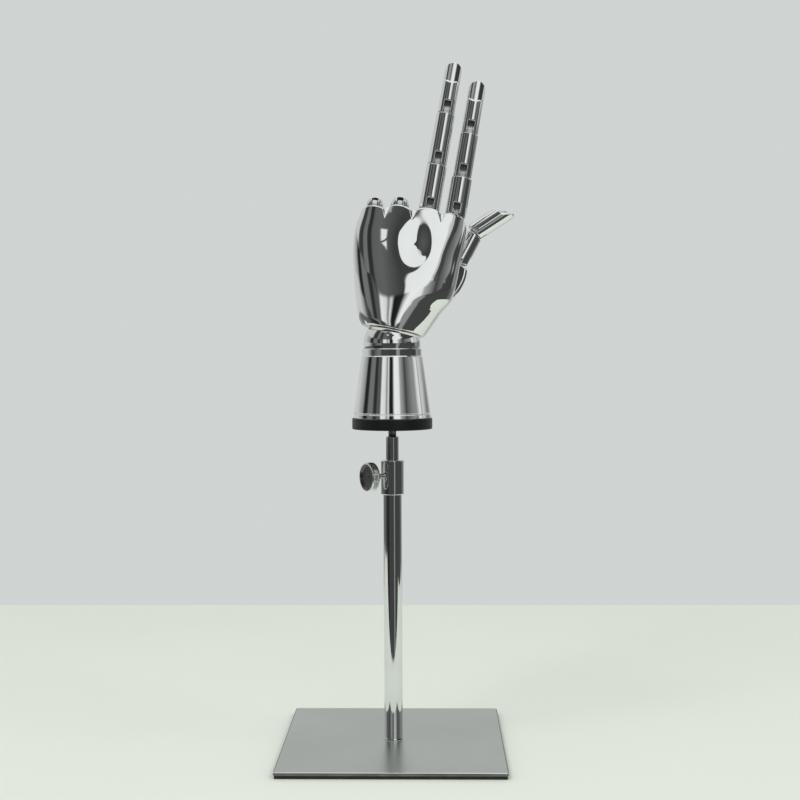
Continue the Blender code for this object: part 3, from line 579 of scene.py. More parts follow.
# Painted shade: the plate's sides and front face are painted dark, standing for the shade and dark reflection
# along them
SHADED_EDGE = plain("edge_painted_shade", (0.15, 0.155, 0.15), (0.22, 0.225, 0.22), 1.0, (0.3, 0.45), 600, 0.2)
STEEL = plain("plain_steel", (0.50, 0.50, 0.50), (0.60, 0.60, 0.59), 1.0, (0.18, 0.34), 700, 0.1)
BLACK = plain("black_disc", (0.003, 0.004, 0.004), (0.006, 0.007, 0.007), 0.0, (0.34, 0.5), 1200, 0.15)
BLACKENED = plain("black_screw", (0.015, 0.015, 0.016), (0.03, 0.03, 0.03), 0.8, (0.3, 0.5), 900, 0.1)
# Partly painted shadow: the pad that raises the plate is near-black, so it fills the gap beneath the plate
# where shadow falls
PAD_PAINTED_SHADOW = plain("rubber_pad", (0.018, 0.018, 0.018), (0.03, 0.03, 0.03), 0.0, (0.7, 0.9), 1500, 0.4)
BRASS = plain("brass_insert", (0.62, 0.45, 0.18), (0.74, 0.56, 0.26), 1.0, (0.2, 0.38), 800, 0.1)
NYLON = plain("nylon", (0.76, 0.74, 0.68), (0.84, 0.82, 0.76), 0.0, (0.4, 0.6), 900, 0.1)
FINISH = {
    "plated_hand": PLATED,
    "plated_steel": CHROME,
    "satin_steel": SATIN,
    "plain_steel": STEEL,
    "black_disc": BLACK,
    "black_screw": BLACKENED,
    "rubber_pad": PAD_PAINTED_SHADOW,
    "brass_insert": BRASS,
    "nylon": NYLON,
}


def dress_cad_nodes():
    """Every node that stays gets its slot's finish."""
    for node, obj in frame["nodes"].items():
        obj.data.materials.clear()
        obj.data.materials.append(FINISH[SLOT[node]])


def make_plate():
    """The square plate with round corners: satin faces, edges painted dark as painted shade, and a front top
    edge in bright plating as a painted highlight.
    """
    inner = PLATE_SIDE / 2 - PLATE_CORNER
    edge, cut, steps = PLATE_EDGE, PLATE_EDGE_CUT, PLATE_CORNER_STEPS
    rings = [(edge, PLATE_BOTTOM), (cut, PLATE_BOTTOM + cut), (0, PLATE_BOTTOM + edge)]
    rings += [(0, PLATE_TOP - edge), (cut, PLATE_TOP - cut), (edge, PLATE_TOP)]
    points, faces = [], []
    for inset, height in rings:
        for quarter in range(4):
            middle = math.radians(45 + 90 * quarter)
            centre = Vector((math.copysign(inner, math.cos(middle)), math.copysign(inner, math.sin(middle))))
            for step in range(steps + 1):
                a = math.radians(90 * quarter + 90 * step / steps)
                spot = centre + (PLATE_CORNER - inset) * Vector((math.cos(a), math.sin(a)))
                points.append(Vector((*spot, height)) * MM)
    count = 4 * (steps + 1)
    for ring in range(len(rings) - 1):
        for i in range(count):
            j = (i + 1) % count
            low, high = ring * count, (ring + 1) * count
            faces.append((low + i, low + j, high + j, high + i))
    faces.append(tuple(reversed(range(count))))
    faces.append(tuple(range((len(rings) - 1) * count, len(rings) * count)))
    mesh = bpy.data.meshes.new("base_plate_skin")
    mesh.from_pydata(points, [], faces)
    mesh.shade_smooth()
    for face in mesh.polygons:
        height = face.center.z / MM
        # The front top rounding takes the painted highlight; the other edge faces take the painted shade
        highlight_edge = PLATE_TOP - edge < height < PLATE_TOP and face.center.y / MM < -inner
        face.material_index = int(PLATE_BOTTOM < height < PLATE_TOP) + int(highlight_edge)
    obj = piece_from("base_plate", mesh, [SATIN, SHADED_EDGE, CHROME])
    obj.modifiers.new("weighted normals", "WEIGHTED_NORMAL")


def thread(pitch, depth, start, end):
    """Changes a radius into a screw thread between two heights."""

    def shape(r, z, a):
        if r == 0 or not start < z < end:
            return r
        turn = (z / pitch - a / (2 * math.pi)) % 1
        return r - depth * (1 - abs(2 * turn - 1))

    return shape


def knurled(r, z, a):
    """Lengthwise grooves round the knob's edge."""
    if r < KNOB_RADIUS - KNURL_MARGIN or not KNOB_BACK + KNURL_MARGIN < z < KNOB_FACE - KNURL_MARGIN:
        return r
    return r - KNURL_DEPTH * abs(math.sin(KNOB_GROOVES * a / 2))


def make_pole():
    """The pole, its collar, and the rod with its threaded neck."""
    bottom = PLATE_TOP + SEAT
    foot = TUBE_RADIUS + TUBE_BEAD
    pole = [(TUBE_BORE, bottom), (foot, bottom, FINE), (foot, bottom + TUBE_BEAD_HEIGHT, FINE)]
    pole += [(TUBE_RADIUS, bottom + TUBE_BEAD_TOP, MEDIUM)]
    pole += [(TUBE_RADIUS, TUBE_TOP, SMALL), (TUBE_BORE, TUBE_TOP)]
    turned("outer_tube", filleted(pole), CHROME)
    low, high = COLLAR
    bore = ROD_RADIUS + RUN
    seat = TUBE_RADIUS + 2 * SEAT
    collar = [(seat, low, SMALL), (COLLAR_RADIUS, low, BOLD), (COLLAR_RADIUS, high, BOLD)]
    collar += [(bore, high, MEDIUM), (bore, COLLAR_SEAT), (seat, COLLAR_SEAT)]
    turned("clamp_collar", filleted(collar), CHROME)
    socket = STUD_RADIUS + SEAT
    socket_bottom = STUD[0] - SEAT
    rod = [(0, ROD[0]), (ROD_RADIUS, ROD[0], ROD_FOOT_EDGE), (ROD_RADIUS, ROD[1], BOLD)]
    rod += [(socket, ROD[1], FINE), (socket, socket_bottom), (0, socket_bottom)]
    turned("inner_rod", filleted(rod), CHROME)
    stud = [(STUD_RADIUS, z) for z in np.linspace(*STUD, STUD_POINTS)]
    stud = [(0, STUD[0]), *stud, (0, STUD[1])]
    turned("rod_stud", stud, OILED, sides=STUD_SIDES, shape=thread(STUD_PITCH, STUD_THREAD_DEPTH, *STUD))


def make_clamp():
    """The clamp screw and its knurled knob with a dished face."""
    place = Matrix.Translation((0, 0, CLAMP_HEIGHT)) @ Matrix.Rotation(CLAMP_TURN, 4, "Z")
    place = place @ Matrix.Rotation(math.pi / 2, 4, "Y")
    start, end = CLAMP_STUD
    shank = [(CLAMP_STUD_RADIUS, z) for z in np.linspace(start, CLAMP_PLAIN_START, CLAMP_POINTS)]
    shank = [(0, start), *shank, (CLAMP_STUD_RADIUS, end), (0, end)]
    screw = thread(CLAMP_PITCH, CLAMP_THREAD_DEPTH, *CLAMP_THREAD)
    turned("clamp_stud", shank, STEEL, place, CLAMP_SIDES, screw)

    hole = CLAMP_STUD_RADIUS + SEAT
    hub_end = KNOB_BACK - KNOB_HUB_LENGTH
    dish = KNOB_FACE - KNOB_DISH
    rim = KNOB_RADIUS - KNOB_RIM
    edge = [(hole, hub_end), (KNOB_HUB, hub_end, MEDIUM), (KNOB_HUB, KNOB_BACK, KNOB_HUB_EDGE)]
    edge += [(KNOB_RADIUS, KNOB_BACK, BOLD), (KNOB_RADIUS, KNOB_FACE, BOLD), (rim, KNOB_FACE, SMALL)]
    edge = filleted(edge, closed=False)
    inner = [(rim, KNOB_FACE), (rim - KNOB_DISH_SLOPE, dish, BOLD)]
    inner += [(KNOB_BOSS, dish - KNOB_BOSS_STEP, MEDIUM), (0, dish)]
    outline = []
    for (r, z), (next_r, next_z) in zip(edge, edge[1:]):
        outline.append((r, z))
        if min(r, next_r) > KNOB_RADIUS - KNURL_TOLERANCE and next_z - z > KNURL_SHORTEST:
            outline += [(r, z + (next_z - z) * k / KNURL_RINGS) for k in range(1, KNURL_RINGS)]
    outline += [*filleted(inner, closed=False), (0, KNOB_BORE_END), (hole, KNOB_BORE_END)]
    inlay = (DISHED, KNOB_RADIUS - DISH_FINISH_INSET, KNOB_FACE - DISH_FINISH_DEPTH)
    turned("clamp_knob", outline, CHROME, place, KNOB_GROOVES * KNURL_SIDES, knurled, inlay)


def wrist_place():
    """The ball's frame: at its centre, tilted sideways as at rest."""
    return Matrix.Translation((0, 0, WRIST_HEIGHT)) @ Matrix.Rotation(WRIST_TILT, 4, "Y")


def hand_place():
    """The hand's frame: the ball's, leaned away from the viewer as at rest."""
    return wrist_place() @ Matrix.Rotation(-WRIST_LEAN, 4, "X")


def make_forearm():
    """The black disc, the forearm with its groove, ledge and cup, and the wrist's ball."""
    low, high = DISC
    disc = [(DISC_SOCKET, low), (DISC_RADIUS, low, DISC_EDGE), (DISC_RADIUS, high, DISC_EDGE)]
    disc += [(0, high), (0, INSERT_TOP), (DISC_SOCKET, INSERT_TOP)]
    turned("base_disc", filleted(disc), BLACK, sides=DISC_SIDES)
    outline = [(FOREARM_FLANGE_RADIUS, FOREARM_BOTTOM), (FOREARM_RADIUS, FOREARM_BOTTOM, FOREARM_EDGE)]
    fall = (FOREARM_RADIUS - FOREARM_NECK[0][0]) / (FOREARM_NECK[0][1] - FOREARM_BOTTOM)
    for rise, depth in FOREARM_GROOVE:
        outline.append((FOREARM_RADIUS - fall * rise - depth, FOREARM_BOTTOM + rise, GROOVE_EDGE))
    cup_rim = -math.degrees(math.asin(CUP_DROP / CUP_RADIUS))
    cup = arc(CUP_RADIUS, cup_rim, CUP_BOTTOM, CUP_STEPS, WRIST_HEIGHT)
    outline += [*FOREARM_NECK, *cup, *FOREARM_HOLLOW]
    turned("forearm_shell", filleted(outline), PLATED, sides=FOREARM_SIDES)
    start = -math.degrees(math.acos(BALL_BOTTOM_OPENING / BALL_RADIUS))
    end = math.degrees(math.acos(BALL_TOP_OPENING / BALL_RADIUS))
    outline = [*arc(BALL_RADIUS, start, end, BALL_STEPS), *BALL_WAIST]
    turned("wrist_ball", outline, PLATED, wrist_place(), BALL_SIDES)


def tongue_field(x, y, z, root):
    """A flat tongue about a pin at the origin, with its round end up."""
    round_end = np.where(z > 0, np.hypot(y, z), np.abs(y)) - TONGUE_ROUND
    flat = soft_max(np.abs(x) - TONGUE_WIDTH / 2, round_end, TONGUE_EDGE)
    return np.maximum(flat, -root - z)


def lip_height(x):
    """The petal edge: an arch over each finger that drops towards the notches."""
    x = np.clip(x, PETAL_LEFT, PETAL_RIGHT)
    pins = np.array(sorted(finger[0] for finger in FINGERS.values()))
    near = np.argmin(np.abs(np.asarray(x)[..., None] - pins[:, 0]), -1)
    return pins[near, 1] - LIP_BELOW_PIN - LIP_DROP * ((x - pins[near, 0]) / PETAL_HALF) ** 2


def palm_power(level):
    """Power of the palm's oval outline: round at the wrist, squarer above."""
    share = np.clip((level - PALM_RIM) / PALM_SQUARE_RISE, 0, 1)
    return PALM_ROUND + (PALM_SQUARE - PALM_ROUND) * share


def back_of_palm(x, level):
    """Depth of the back of the hand at this place."""
    left, right, back = (smooth_table(PALM_SECTIONS, column, np.array([level]))[0] for column in (1, 2, 3))
    share = abs(x - (left + right) / 2) / ((right - left) / 2)
    power = palm_power(level)
    return -back * (1 - share**power) ** (1 / power)


def palm_field(x, y, z):
    """The palm over the wrist's ball, with its hollow, petal edge, notches, tongues and the thumb's flat."""
    rim = PALM_RIM_SLOPE * x
    sloped = (z - rim * (1 + PALM_RIM / PALM_RIM_SLOPE_RISE)) / (1 - rim / PALM_RIM_SLOPE_RISE)
    level = np.where(sloped < PALM_RIM + PALM_RIM_SLOPE_RISE, sloped, z)
    clipped = np.clip(level, PALM_RIM, PALM_TOP)
    left, right, back, front = (smooth_table(PALM_SECTIONS, column, clipped) for column in (1, 2, 3, 4))
    half = (right - left) / 2
    depth = np.where(y > 0, front, back)
    power = palm_power(clipped)
    across = (x - HOLLOW_PLACE[0]) / HOLLOW_WIDTHS[0]
    along = (z - HOLLOW_PLACE[1]) / HOLLOW_WIDTHS[1]
    hollow = HOLLOW_DEPTH * np.exp(-(across**2 + along**2) / 2) * np.clip(-y / HOLLOW_FADE, 0, 1)
    a = np.abs(x - (left + right) / 2) / half
    b = np.abs(y - hollow) / depth
    size = np.maximum((a**power + b**power) ** (1 / power), LEAST_SIZE)
    slope = np.hypot((a / size) ** (power - 1) / half, (b / size) ** (power - 1) / depth)
    body = (size - 1) / np.maximum(slope, PALM_LEAST_SLOPE)
    body = soft_max(body, PALM_RIM - level, PALM_RIM_EDGE)
    body = soft_max(body, CUP_RADIUS - np.sqrt(x * x + y * y + z * z), PALM_CUP_EDGE)
    lip = lip_height(x)
    corner = np.clip((LIP_CORNER - x) / LIP_CORNER_WIDTH, 0, 1)
    start = -LIP_BACK + (LIP_BACK + LIP_CORNER_BACK) * corner**2 * (3 - 2 * corner)
    body = soft_max(body, z - lip + np.maximum(y - start, 0), LIP_EDGE)
    pins = sorted(finger[0] for finger in FINGERS.values())
    for (x1, _), (x2, _) in zip(pins, pins[1:]):
        middle = (x1 + x2) / 2
        bottom = float(lip_height(middle)) - NOTCH_DEPTH + LIP_DROP
        gouge = np.hypot(x - middle, y - back_of_palm(middle, bottom))
        gouge = gouge - NOTCH_RADIUS / NOTCH_DEPTH * (z - bottom)
        body = soft_max(body, -NOTCH_FALL * gouge, NOTCH_EDGE)
    for (px, pz), lean, _, diameters, _ in FINGERS.values():
        knuckle = diameters[0] / 2 + KNUCKLE_PLAY - np.sqrt((x - px) ** 2 + y * y + (z - pz) ** 2)
        body = soft_max(body, knuckle, KNUCKLE_EDGE)
        c, s = math.cos(math.radians(lean)), math.sin(math.radians(lean))
        along = s * (x - px) + c * (z - pz)
        body = np.minimum(body, tongue_field(c * (x - px) - s * (z - pz), y, along, 2 * TONGUE_ROOT))
    shifted = x - THUMB_PIVOT[0] - RECESS_LEAN * np.maximum(z - THUMB_PIVOT[1], 0)
    recess = np.hypot(np.minimum(shifted, 0), np.minimum(z - THUMB_PIVOT[1], 0)) - RECESS_RADIUS
    recess = np.maximum(np.maximum(recess, z - RECESS_TOP), THUMB_FLAT - y)
    return soft_max(body, -recess, RECESS_EDGE)


def finger_field(radius, bottom, top, bevels, nail=None):
    """One finger piece about its own pin: Z along the finger, Y to the palm side.

    Where bottom is None, the lower end is a ball.
    """

    def field(x, y, z):
        across = np.hypot(x, y)
        start = 0 if bottom is None else bottom
        tip = radius * FINGER_TAPER
        full = top - nail[2] * tip if nail else top
        share = np.clip((z - start) / (full - start), 0, 1)
        body = across - radius + (radius - tip) * share
        if bottom is None:
            body = np.where(z < 0, np.sqrt(across**2 + z**2) - radius, body)
        else:
            lean = math.tan(math.radians(bevels[0]))
            body = soft_max(body, bottom - z + lean * np.maximum(y, 0), FINGER_EDGE)
        if nail:
            length, edge, dome = nail
            body = np.where(z > full, np.sqrt(across**2 + ((z - full) / dome) ** 2) - tip, body)
            arch = (x / radius) ** 2
            start = NAIL_STEP - tip
            round_over = NAIL_ROUND * radius
            crown = round_over - np.sqrt(np.maximum(round_over**2 - x * x, 0))
            bed = start + (edge - start) * (z - top + length) / (length + NAIL_OVERRUN) + crown
            ledge = top - length + NAIL_ARCH * arch + NAIL_SLOPE * (tip - across)
            waste = np.maximum(y - bed, ledge - z)
            body = soft_max(body, -waste, NAIL_EDGE)
        else:
            lean = math.tan(math.radians(bevels[1]))
            body = soft_max(body, z - top + lean * np.maximum(y, 0), FINGER_EDGE)
        roof = np.interp(y, (-radius, radius), (SLOT_ROOF_BACK, SLOT_ROOF_FRONT))
        body = soft_max(body, -np.maximum(np.abs(x) - SLOT_WIDTH / 2, z - roof), SLOT_EDGE)
        body = soft_max(body, PIN_BORE - np.hypot(y, z), PIN_EDGE)
        if not nail:
            pin = top + RUN / 2 + PIN_LIFT
            body = np.minimum(body, tongue_field(x, y, z - pin, PIN_LIFT + TONGUE_ROOT))
        return body

    return field


def finger_piece(node, place, radius, bottom, top, bevels, nail=None):
    """A plated finger piece whose slot is painted near-black as painted shade, and whose tongue is painted
    lighter as a painted highlight.
    """
    high = top if nail else top + RUN / 2 + PIN_LIFT + TONGUE_ROUND
    low = -radius if bottom is None else bottom

    def finishes(x, y, z):
        # Faces inside the slot take the painted shade
        side, end, depth = SLOT_SHADE_REACH
        roof = np.interp(y, (-radius, radius), (SLOT_ROOF_BACK, SLOT_ROOF_FRONT))
        deep = (np.hypot(x, y) < radius - depth) & ((z > TONGUE_ROUND) | (y > -TONGUE_ROUND))
        slot = (np.abs(x) < SLOT_WIDTH / 2 + side) & (z < roof + end) & deep
        if nail:
            return slot
        # Faces on the tongue take the painted highlight
        side, end = TONGUE_HIGHLIGHT_REACH
        tongue = (np.abs(x) < TONGUE_WIDTH / 2 + side) & (z > top + end)
        return np.where(tongue, 2, slot)

    field = finger_field(radius, bottom, top, bevels, nail)
    step = TIP_STEP if nail else PIECE_STEP
    box = (-radius, -radius, low), (radius, radius, high)
    modelled(node, field, *box, step, place, [PLATED, SHADED_SLOT, LIT_TONGUE], finishes)


def make_finger(finger):
    """The three pieces of a finger, each about the pin at its lower end."""
    (px, pz), lean, lengths, diameters, bends = FINGERS[finger]
    radii = [diameter / 2 for diameter in diameters]
    turns = [Matrix.Rotation(math.radians(-bend), 4, "X") for bend in bends]
    bevels = (FINGER_BEVEL, FINGER_BEVEL)
    base = RUN / 2 - PIN_LIFT
    place = hand_place() @ Matrix.Translation((px, 0, pz))
    place = place @ Matrix.Rotation(math.radians(lean), 4, "Y") @ turns[0]
    finger_piece(finger + "_proximal", place, radii[0], None, lengths[0] - RUN / 2, bevels)
    place = place @ Matrix.Translation((0, 0, lengths[0] + PIN_LIFT)) @ turns[1]
    finger_piece(finger + "_middle", place, radii[1], base, lengths[1] - PIN_LIFT - RUN / 2, bevels)
    place = place @ Matrix.Translation((0, 0, lengths[1])) @ turns[2]
    finger_piece(finger + "_distal", place, radii[2], base, lengths[2] - PIN_LIFT, bevels, FINGER_NAIL)


def thumb_base_field(x, y, z):
    """A loaf-shaped dome on the palm's flat, in the palm's frame."""
    dx, dz = x - THUMB_JOINT[0], z - THUMB_JOINT[1]
    along = math.sin(THUMB_ANGLE) * dx + math.cos(THUMB_ANGLE) * dz
    side = math.cos(THUMB_ANGLE) * dx - math.sin(THUMB_ANGLE) * dz
    share = np.clip(1 + (along + RUN / 2) / THUMB_BASE_LENGTH, 0, 1)
    half, height = (smooth_table(THUMB_BASE_SECTIONS, column, share) for column in (1, 2))
    rise = y - THUMB_FLAT - RUN
    a, b = side / half, rise / height
    size = np.maximum(np.hypot(a, b), LEAST_SIZE)
    body = (size - 1) * size / np.maximum(np.hypot(a / half, b / height), THUMB_BASE_LEAST_SLOPE)
    body = soft_max(body, -rise, THUMB_FOOT_EDGE)
    body = soft_max(body, -(along + RUN / 2 + THUMB_BASE_LENGTH), THUMB_HEEL_EDGE)
    lean = math.tan(math.radians(THUMB_BASE_BEVEL))
    body = soft_max(body, along + RUN / 2 + lean * np.maximum(side, 0), THUMB_END_EDGE)
    body = np.minimum(body, tongue_field(y - THUMB_DEPTH, side, along - PIN_LIFT, PIN_LIFT + TONGUE_ROOT))
    pivot = np.hypot(x - THUMB_PIVOT[0], z - THUMB_PIVOT[1])
    body = soft_max(body, PIVOT_HOLE - pivot, PIVOT_EDGE)
    head = np.maximum(pivot - PIVOT_HEAD_HOLE, THUMB_FLAT + PIVOT_HEAD_BOTTOM - y)
    return soft_max(body, -head, PIVOT_HEAD_EDGE)


def make_thumb():
    """The thumb's base on the palm's flat, and its two pieces."""
    place = hand_place()
    modelled("thumb_base", thumb_base_field, *THUMB_BASE_BOX, PIECE_STEP, place, [PLATED])
    joint = Matrix.Translation((THUMB_JOINT[0], THUMB_DEPTH, THUMB_JOINT[1]))
    stand_up = Matrix.Rotation(THUMB_ANGLE, 4, "Y") @ Matrix.Rotation(-math.pi / 2, 4, "Z")
    turns = [Matrix.Rotation(math.radians(-bend), 4, "X") for bend in THUMB_BENDS]
    radii = [diameter / 2 for diameter in THUMB_DIAMETERS]
    start = RUN / 2 - PIN_LIFT
    end = THUMB_LENGTHS[0] - PIN_LIFT - RUN / 2
    place = place @ joint @ stand_up @ Matrix.Translation((0, 0, PIN_LIFT)) @ turns[0]
    finger_piece("thumb_proximal", place, radii[0], start, end, (THUMB_BASE_BEVEL, THUMB_TIP_BEVEL))
    place = place @ Matrix.Translation((0, 0, THUMB_LENGTHS[0])) @ turns[1]
    end = THUMB_LENGTHS[1] - PIN_LIFT
    finger_piece("thumb_distal", place, radii[1], start, end, (THUMB_TIP_BEVEL, None), THUMB_NAIL)


def on_tongue(x, y, z):
    """Places on the palm's four tongues, which take the painted highlight."""
    side, end = PALM_TONGUE_HIGHLIGHT_REACH
    found = np.zeros(len(x), bool)
    for (px, pz), *_ in FINGERS.values():
        found |= (np.abs(x - px) < TONGUE_WIDTH / 2 + side) & (np.hypot(y, z - pz) < TONGUE_ROUND + end)
    return found


def make_hand():
    modelled("palm", palm_field, *PALM_BOX, PALM_STEP, hand_place(), [PLATED, LIT_TONGUE], on_tongue)
    for finger in FINGERS:
        make_finger(finger)
    make_thumb()


# The studio that the plating mirrors: rings of light and dark bands, one above the other. A band is a bearing
# from the viewer's side, in degrees to the right, and a brightness
WALL = (0.625, 0.660, 0.650)
CEILING = (0.86, 0.89, 0.87)
BAND_TINT = (0.985, 1.01, 1)
BELOW_BANDS = [
    (-180, 0.50), (-150, 0.30), (-125, 0.15), (-90, 0.11), (-76, 0.03), (-50, 0.02), (-34, 0.06), (16, 0.06),
    (20, 0.34), (26, 0.34), (30, 0.06), (94, 0.06), (108, 0.13), (126, 0.20), (146, 0.50), (180, 0.50),
]
HORIZON_BANDS = [
    (-180, 0.64), (-108, 0.60), (-92, 0.32), (-84, 0.10), (-74, 0.04), (-66, 0.11), (-50, 0.18),
    (-42, 0.16), (-38, 0.05), (-30, 0.06), (16, 0.05), (20, 0.30), (30, 0.26), (34, 0.06), (103, 0.05),
    (109, 0.28), (118, 0.26), (130, 0.18), (146, 0.30), (160, 0.60),
]
LOW_BANDS = [
    (-130, 0.60), (-100, 0.30), (-93, 0.02), (-82, 0.02), (-76, 0.18), (-62, 0.18), (-57, 0.03),
    (-50, 0.03), (-46, 0.10), (-37, 0.10), (-32, 0.86), (-20, 0.72), (-17, 0.32), (-14, 0.32),
    (-11, 0.82), (-6, 0.01), (3.2, 0.02), (6, 0.45), (10, 0.92), (24, 0.84), (28, 0.40), (41, 0.16),
    (46, 0.05), (50, 0.10), (70, 0.26), (82, 0.30), (88, 0.62), (97, 0.84), (103, 0.36), (108, 0.66),
    (134, 0.34), (146, 0.62),
]
HIGH_BANDS = [
    (-180, 0.64), (-92, 0.60), (-86, 0.30), (-82, 0.05), (-66, 0.04), (-62, 0.16), (-52, 0.18),
    (-48, 0.03), (-41, 0.03), (-37, 0.12), (-23, 0.13), (2, 0.05), (60, 0.05),
]
# What the nails show, just below the ceiling
TIP_BANDS = [
    (-180, 0.50), (-120, 0.40), (-103, 0.34), (-90, 0.14), (-72, 0.08), (-64, 0.10), (-56, 0.34),
    (-32, 0.34), (-22, 0.12), (-16, 0.09), (-10, 0.30), (-4, 0.50), (2, 0.86), (34, 0.90), (38, 0.50),
    (44, 0.08), (54, 0.30), (80, 0.34), (120, 0.45),
]
# The big light and what is right of it, by bearing from the light's right edge
LIGHT_BANDS = [
    (-40, 0.86), (-7, 0.90), (-3, 0.50), (0, 0.60), (3, 0.07), (19, 0.04), (35, 0.05), (53, 0.03),
    (65, 0.05), (77, 0.30), (89, 0.26), (109, 0.56), (139, 0.64),
]
# Edges of the big light: elevation and bearing
LIGHT_RIGHT_EDGE = [(18, 32), (20, 36), (22, 40), (24, 44), (26, 45), (28, 43), (30, 41)]
LIGHT_LEFT_EDGE = [
    (28, 2.5), (30, 3.5), (32, 5), (33, 6.5), (34, 9), (35, 11), (36, 12.2), (37, 12.2), (38, 11.6),
    (38.6, 10), (39.2, 7.5), (41, 4), (44, 1), (46, -1), (48, -4),
]
EDGE_BLUR = 2
# A dark card low on the right, by its share at each bearing
CARD_BANDS = [(58, 0), (64, 1), (84, 1), (89, 0)]
# A window left of the light, by its share at each bearing, and its slanted bars
WINDOW_BANDS = [(-23, 0), (-20.5, 1), (-14, 1), (-12, 0)]
PANE_BANDS = [(-17, 0.86), (-15.6, 0.05), (-13.8, 0.05), (-12.4, 0.86)]
PANE_SLANT = 6
PANE_HEIGHT = 36
# Elevations over which one ring gives way to the next
HORIZON_START = (-4.5, -2.5)
LOW_START = (3.5, 6.5)
CARD_END = (8, 9.4)
HIGH_START = (17.5, 20.5)
WINDOW_START = (34.4, 34.9)
WINDOW_END = (38.6, 39.6)
TIP_START = (45, 46)
CEILING_START = (50, 56)


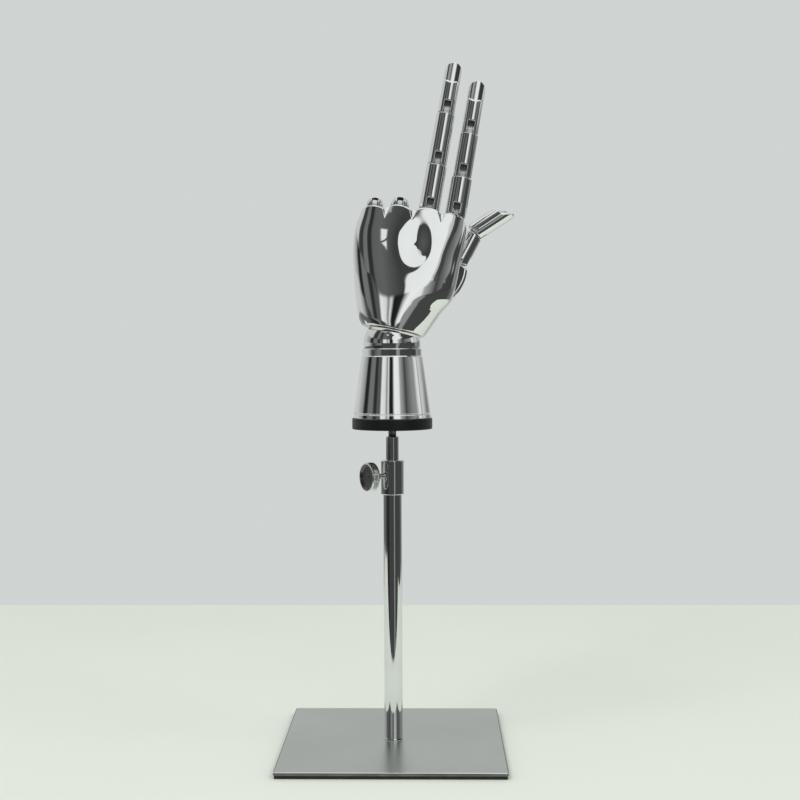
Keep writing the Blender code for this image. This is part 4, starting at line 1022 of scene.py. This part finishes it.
def make_world():
    """A plain wall, and the rings of bands that only reflections see."""
    world = bpy.data.worlds.new("studio")
    bpy.context.scene.world = world
    world.use_nodes = True
    tree = world.node_tree
    tree.nodes.clear()

    def add(kind, *sources, **settings):
        node = tree.nodes.new("ShaderNode" + kind)
        for key, value in settings.items():
            setattr(node, key, value)
        for number, source in enumerate(sources):
            if isinstance(source, (int, float)):
                node.inputs[number].default_value = source
            elif source is not None:
                tree.links.new(source, node.inputs[number])
        return node

    def math_node(operation, *sources):
        return add("Math", *sources, operation=operation).outputs[0]

    def ramp(source, stops, tint=(1, 1, 1)):
        node = add("ValToRGB", source)
        elements = node.color_ramp.elements
        for number, (spot, value) in enumerate(stops):
            element = elements[number] if number in (0, 1) else elements.new(spot)
            element.position = spot
            element.color = (*[value * share for share in tint], 1)
        return node.outputs["Color"]

    def turn_share(degrees):
        return degrees / 360 + 0.5

    def bands(source, stops):
        return ramp(source, [(turn_share(degrees), light) for degrees, light in stops], BAND_TINT)

    def mix(share, *colours):
        node = add("Mix", share, data_type="RGBA")
        for socket, colour in zip(("A", "B"), colours):
            places = [place for place in node.inputs if place.name == socket and place.type == "RGBA"]
            if isinstance(colour, tuple):
                places[0].default_value = (*colour, 1)
            else:
                tree.links.new(colour, places[0])
        return [place for place in node.outputs if place.type == "RGBA"][0]

    def above(start, end):
        """0 below the first elevation and 1 above the second."""
        node = add("MapRange", z, interpolation_type="SMOOTHSTEP")
        node.inputs["From Min"].default_value = math.sin(math.radians(start))
        node.inputs["From Max"].default_value = math.sin(math.radians(end))
        return node.outputs[0]

    def leaning(slant, start):
        """Turns of bearing that grow by this many degrees for each degree of elevation near the start."""
        rate = slant / 360 / (math.radians(1) * math.cos(math.radians(start)))
        return math_node("MULTIPLY", math_node("SUBTRACT", z, math.sin(math.radians(start))), rate)

    def from_edge(edge):
        """Bearing from an edge whose own bearing changes with the elevation, in turns."""
        stops = [(math.sin(math.radians(height)), turn_share(degrees)) for height, degrees in edge]
        return math_node("SUBTRACT", bearing, ramp(z, stops))

    def right_of(edge):
        """1 where the bearing is right of this edge."""
        node = add("MapRange", from_edge(edge), interpolation_type="SMOOTHSTEP")
        node.inputs["From Max"].default_value = EDGE_BLUR / 360
        return node.outputs[0]

    direction = add("SeparateXYZ", add("TexCoord").outputs["Generated"])
    x, y, z = direction.outputs
    angle = math_node("ARCTAN2", x, math_node("MULTIPLY", y, -1))
    bearing = math_node("ADD", math_node("DIVIDE", angle, 2 * math.pi), 0.5)
    light = bands(math_node("ADD", from_edge(LIGHT_RIGHT_EDGE), turn_share(0)), LIGHT_BANDS)
    high = mix(right_of(LIGHT_LEFT_EDGE), bands(bearing, HIGH_BANDS), light)
    panes = bands(math_node("SUBTRACT", bearing, leaning(PANE_SLANT, PANE_HEIGHT)), PANE_BANDS)
    window = mix(bands(bearing, WINDOW_BANDS), high, panes)
    horizon = bands(bearing, HORIZON_BANDS)
    card = math_node("MULTIPLY", bands(bearing, CARD_BANDS), math_node("SUBTRACT", 1, above(*CARD_END)))
    low = mix(card, bands(bearing, LOW_BANDS), horizon)
    room = mix(above(*HORIZON_START), bands(bearing, BELOW_BANDS), horizon)
    room = mix(above(*LOW_START), room, low)
    room = mix(above(*HIGH_START), room, high)
    room = mix(above(*WINDOW_START), room, window)
    room = mix(above(*WINDOW_END), room, high)
    room = mix(above(*TIP_START), room, bands(bearing, TIP_BANDS))
    room = mix(above(*CEILING_START), room, CEILING)
    seen = mix(add("LightPath").outputs["Is Glossy Ray"], WALL, room)
    background = add("Background", seen)
    output = add("OutputWorld")
    tree.links.new(background.outputs[0], output.inputs[0])


def make_floor():
    """A pale table top."""
    left, right = FLOOR_ACROSS
    near, far = FLOOR_DEEP
    corners = [(left, near, 0), (right, near, 0), (right, far, 0), (left, far, 0)]
    mesh = bpy.data.meshes.new("floor")
    mesh.from_pydata(corners, [], [(0, 1, 2, 3)])
    floor = bpy.data.objects.new("floor", mesh)
    bpy.context.scene.collection.objects.link(floor)
    shader = Shader("floor", roughness=0.7, specular_ior_level=0.2)
    cloud = shader.noise(scale=3, detail=2)
    shader.link(shader.tint(cloud, (0.86, 0.882, 0.795), (0.885, 0.905, 0.825)), "Base Color")
    mesh.materials.append(shader.material)


def lamp(name, place, side, power):
    """A square lamp that reflections don't see."""
    light = bpy.data.lights.new(name, "AREA")
    light.shape = "RECTANGLE"
    light.size = side
    light.size_y = side
    light.energy = power
    obj = bpy.data.objects.new(name, light)
    bpy.context.scene.collection.objects.link(obj)
    obj.location = place
    obj.visible_glossy = False
    obj.rotation_euler = (Vector(LAMP_AIM) - Vector(place)).to_track_quat("-Z", "Y").to_euler()


def make_camera():
    camera = bpy.data.cameras.new("camera")
    camera.sensor_width = SENSOR
    camera.lens = SENSOR * CAMERA_FOCAL
    obj = bpy.data.objects.new("camera", camera)
    bpy.context.scene.collection.objects.link(obj)
    obj.location = CAMERA_PLACE
    obj.rotation_mode = "YXZ"
    pitch, roll, yaw = CAMERA_TURN
    turn = Matrix.Rotation(yaw, 3, "Z") @ Matrix.Rotation(pitch, 3, "X") @ Matrix.Rotation(roll, 3, "Z")
    obj.rotation_euler = turn.to_euler("YXZ")
    bpy.context.scene.camera = obj


def make_studio():
    make_world()
    make_floor()
    for name, (place, side, power) in LAMPS.items():
        lamp(name, place, side, power)
    make_camera()
    bpy.context.scene.view_settings.view_transform = "Standard"


dress_cad_nodes()
make_plate()
make_pole()
make_clamp()
make_forearm()
make_hand()
make_studio()
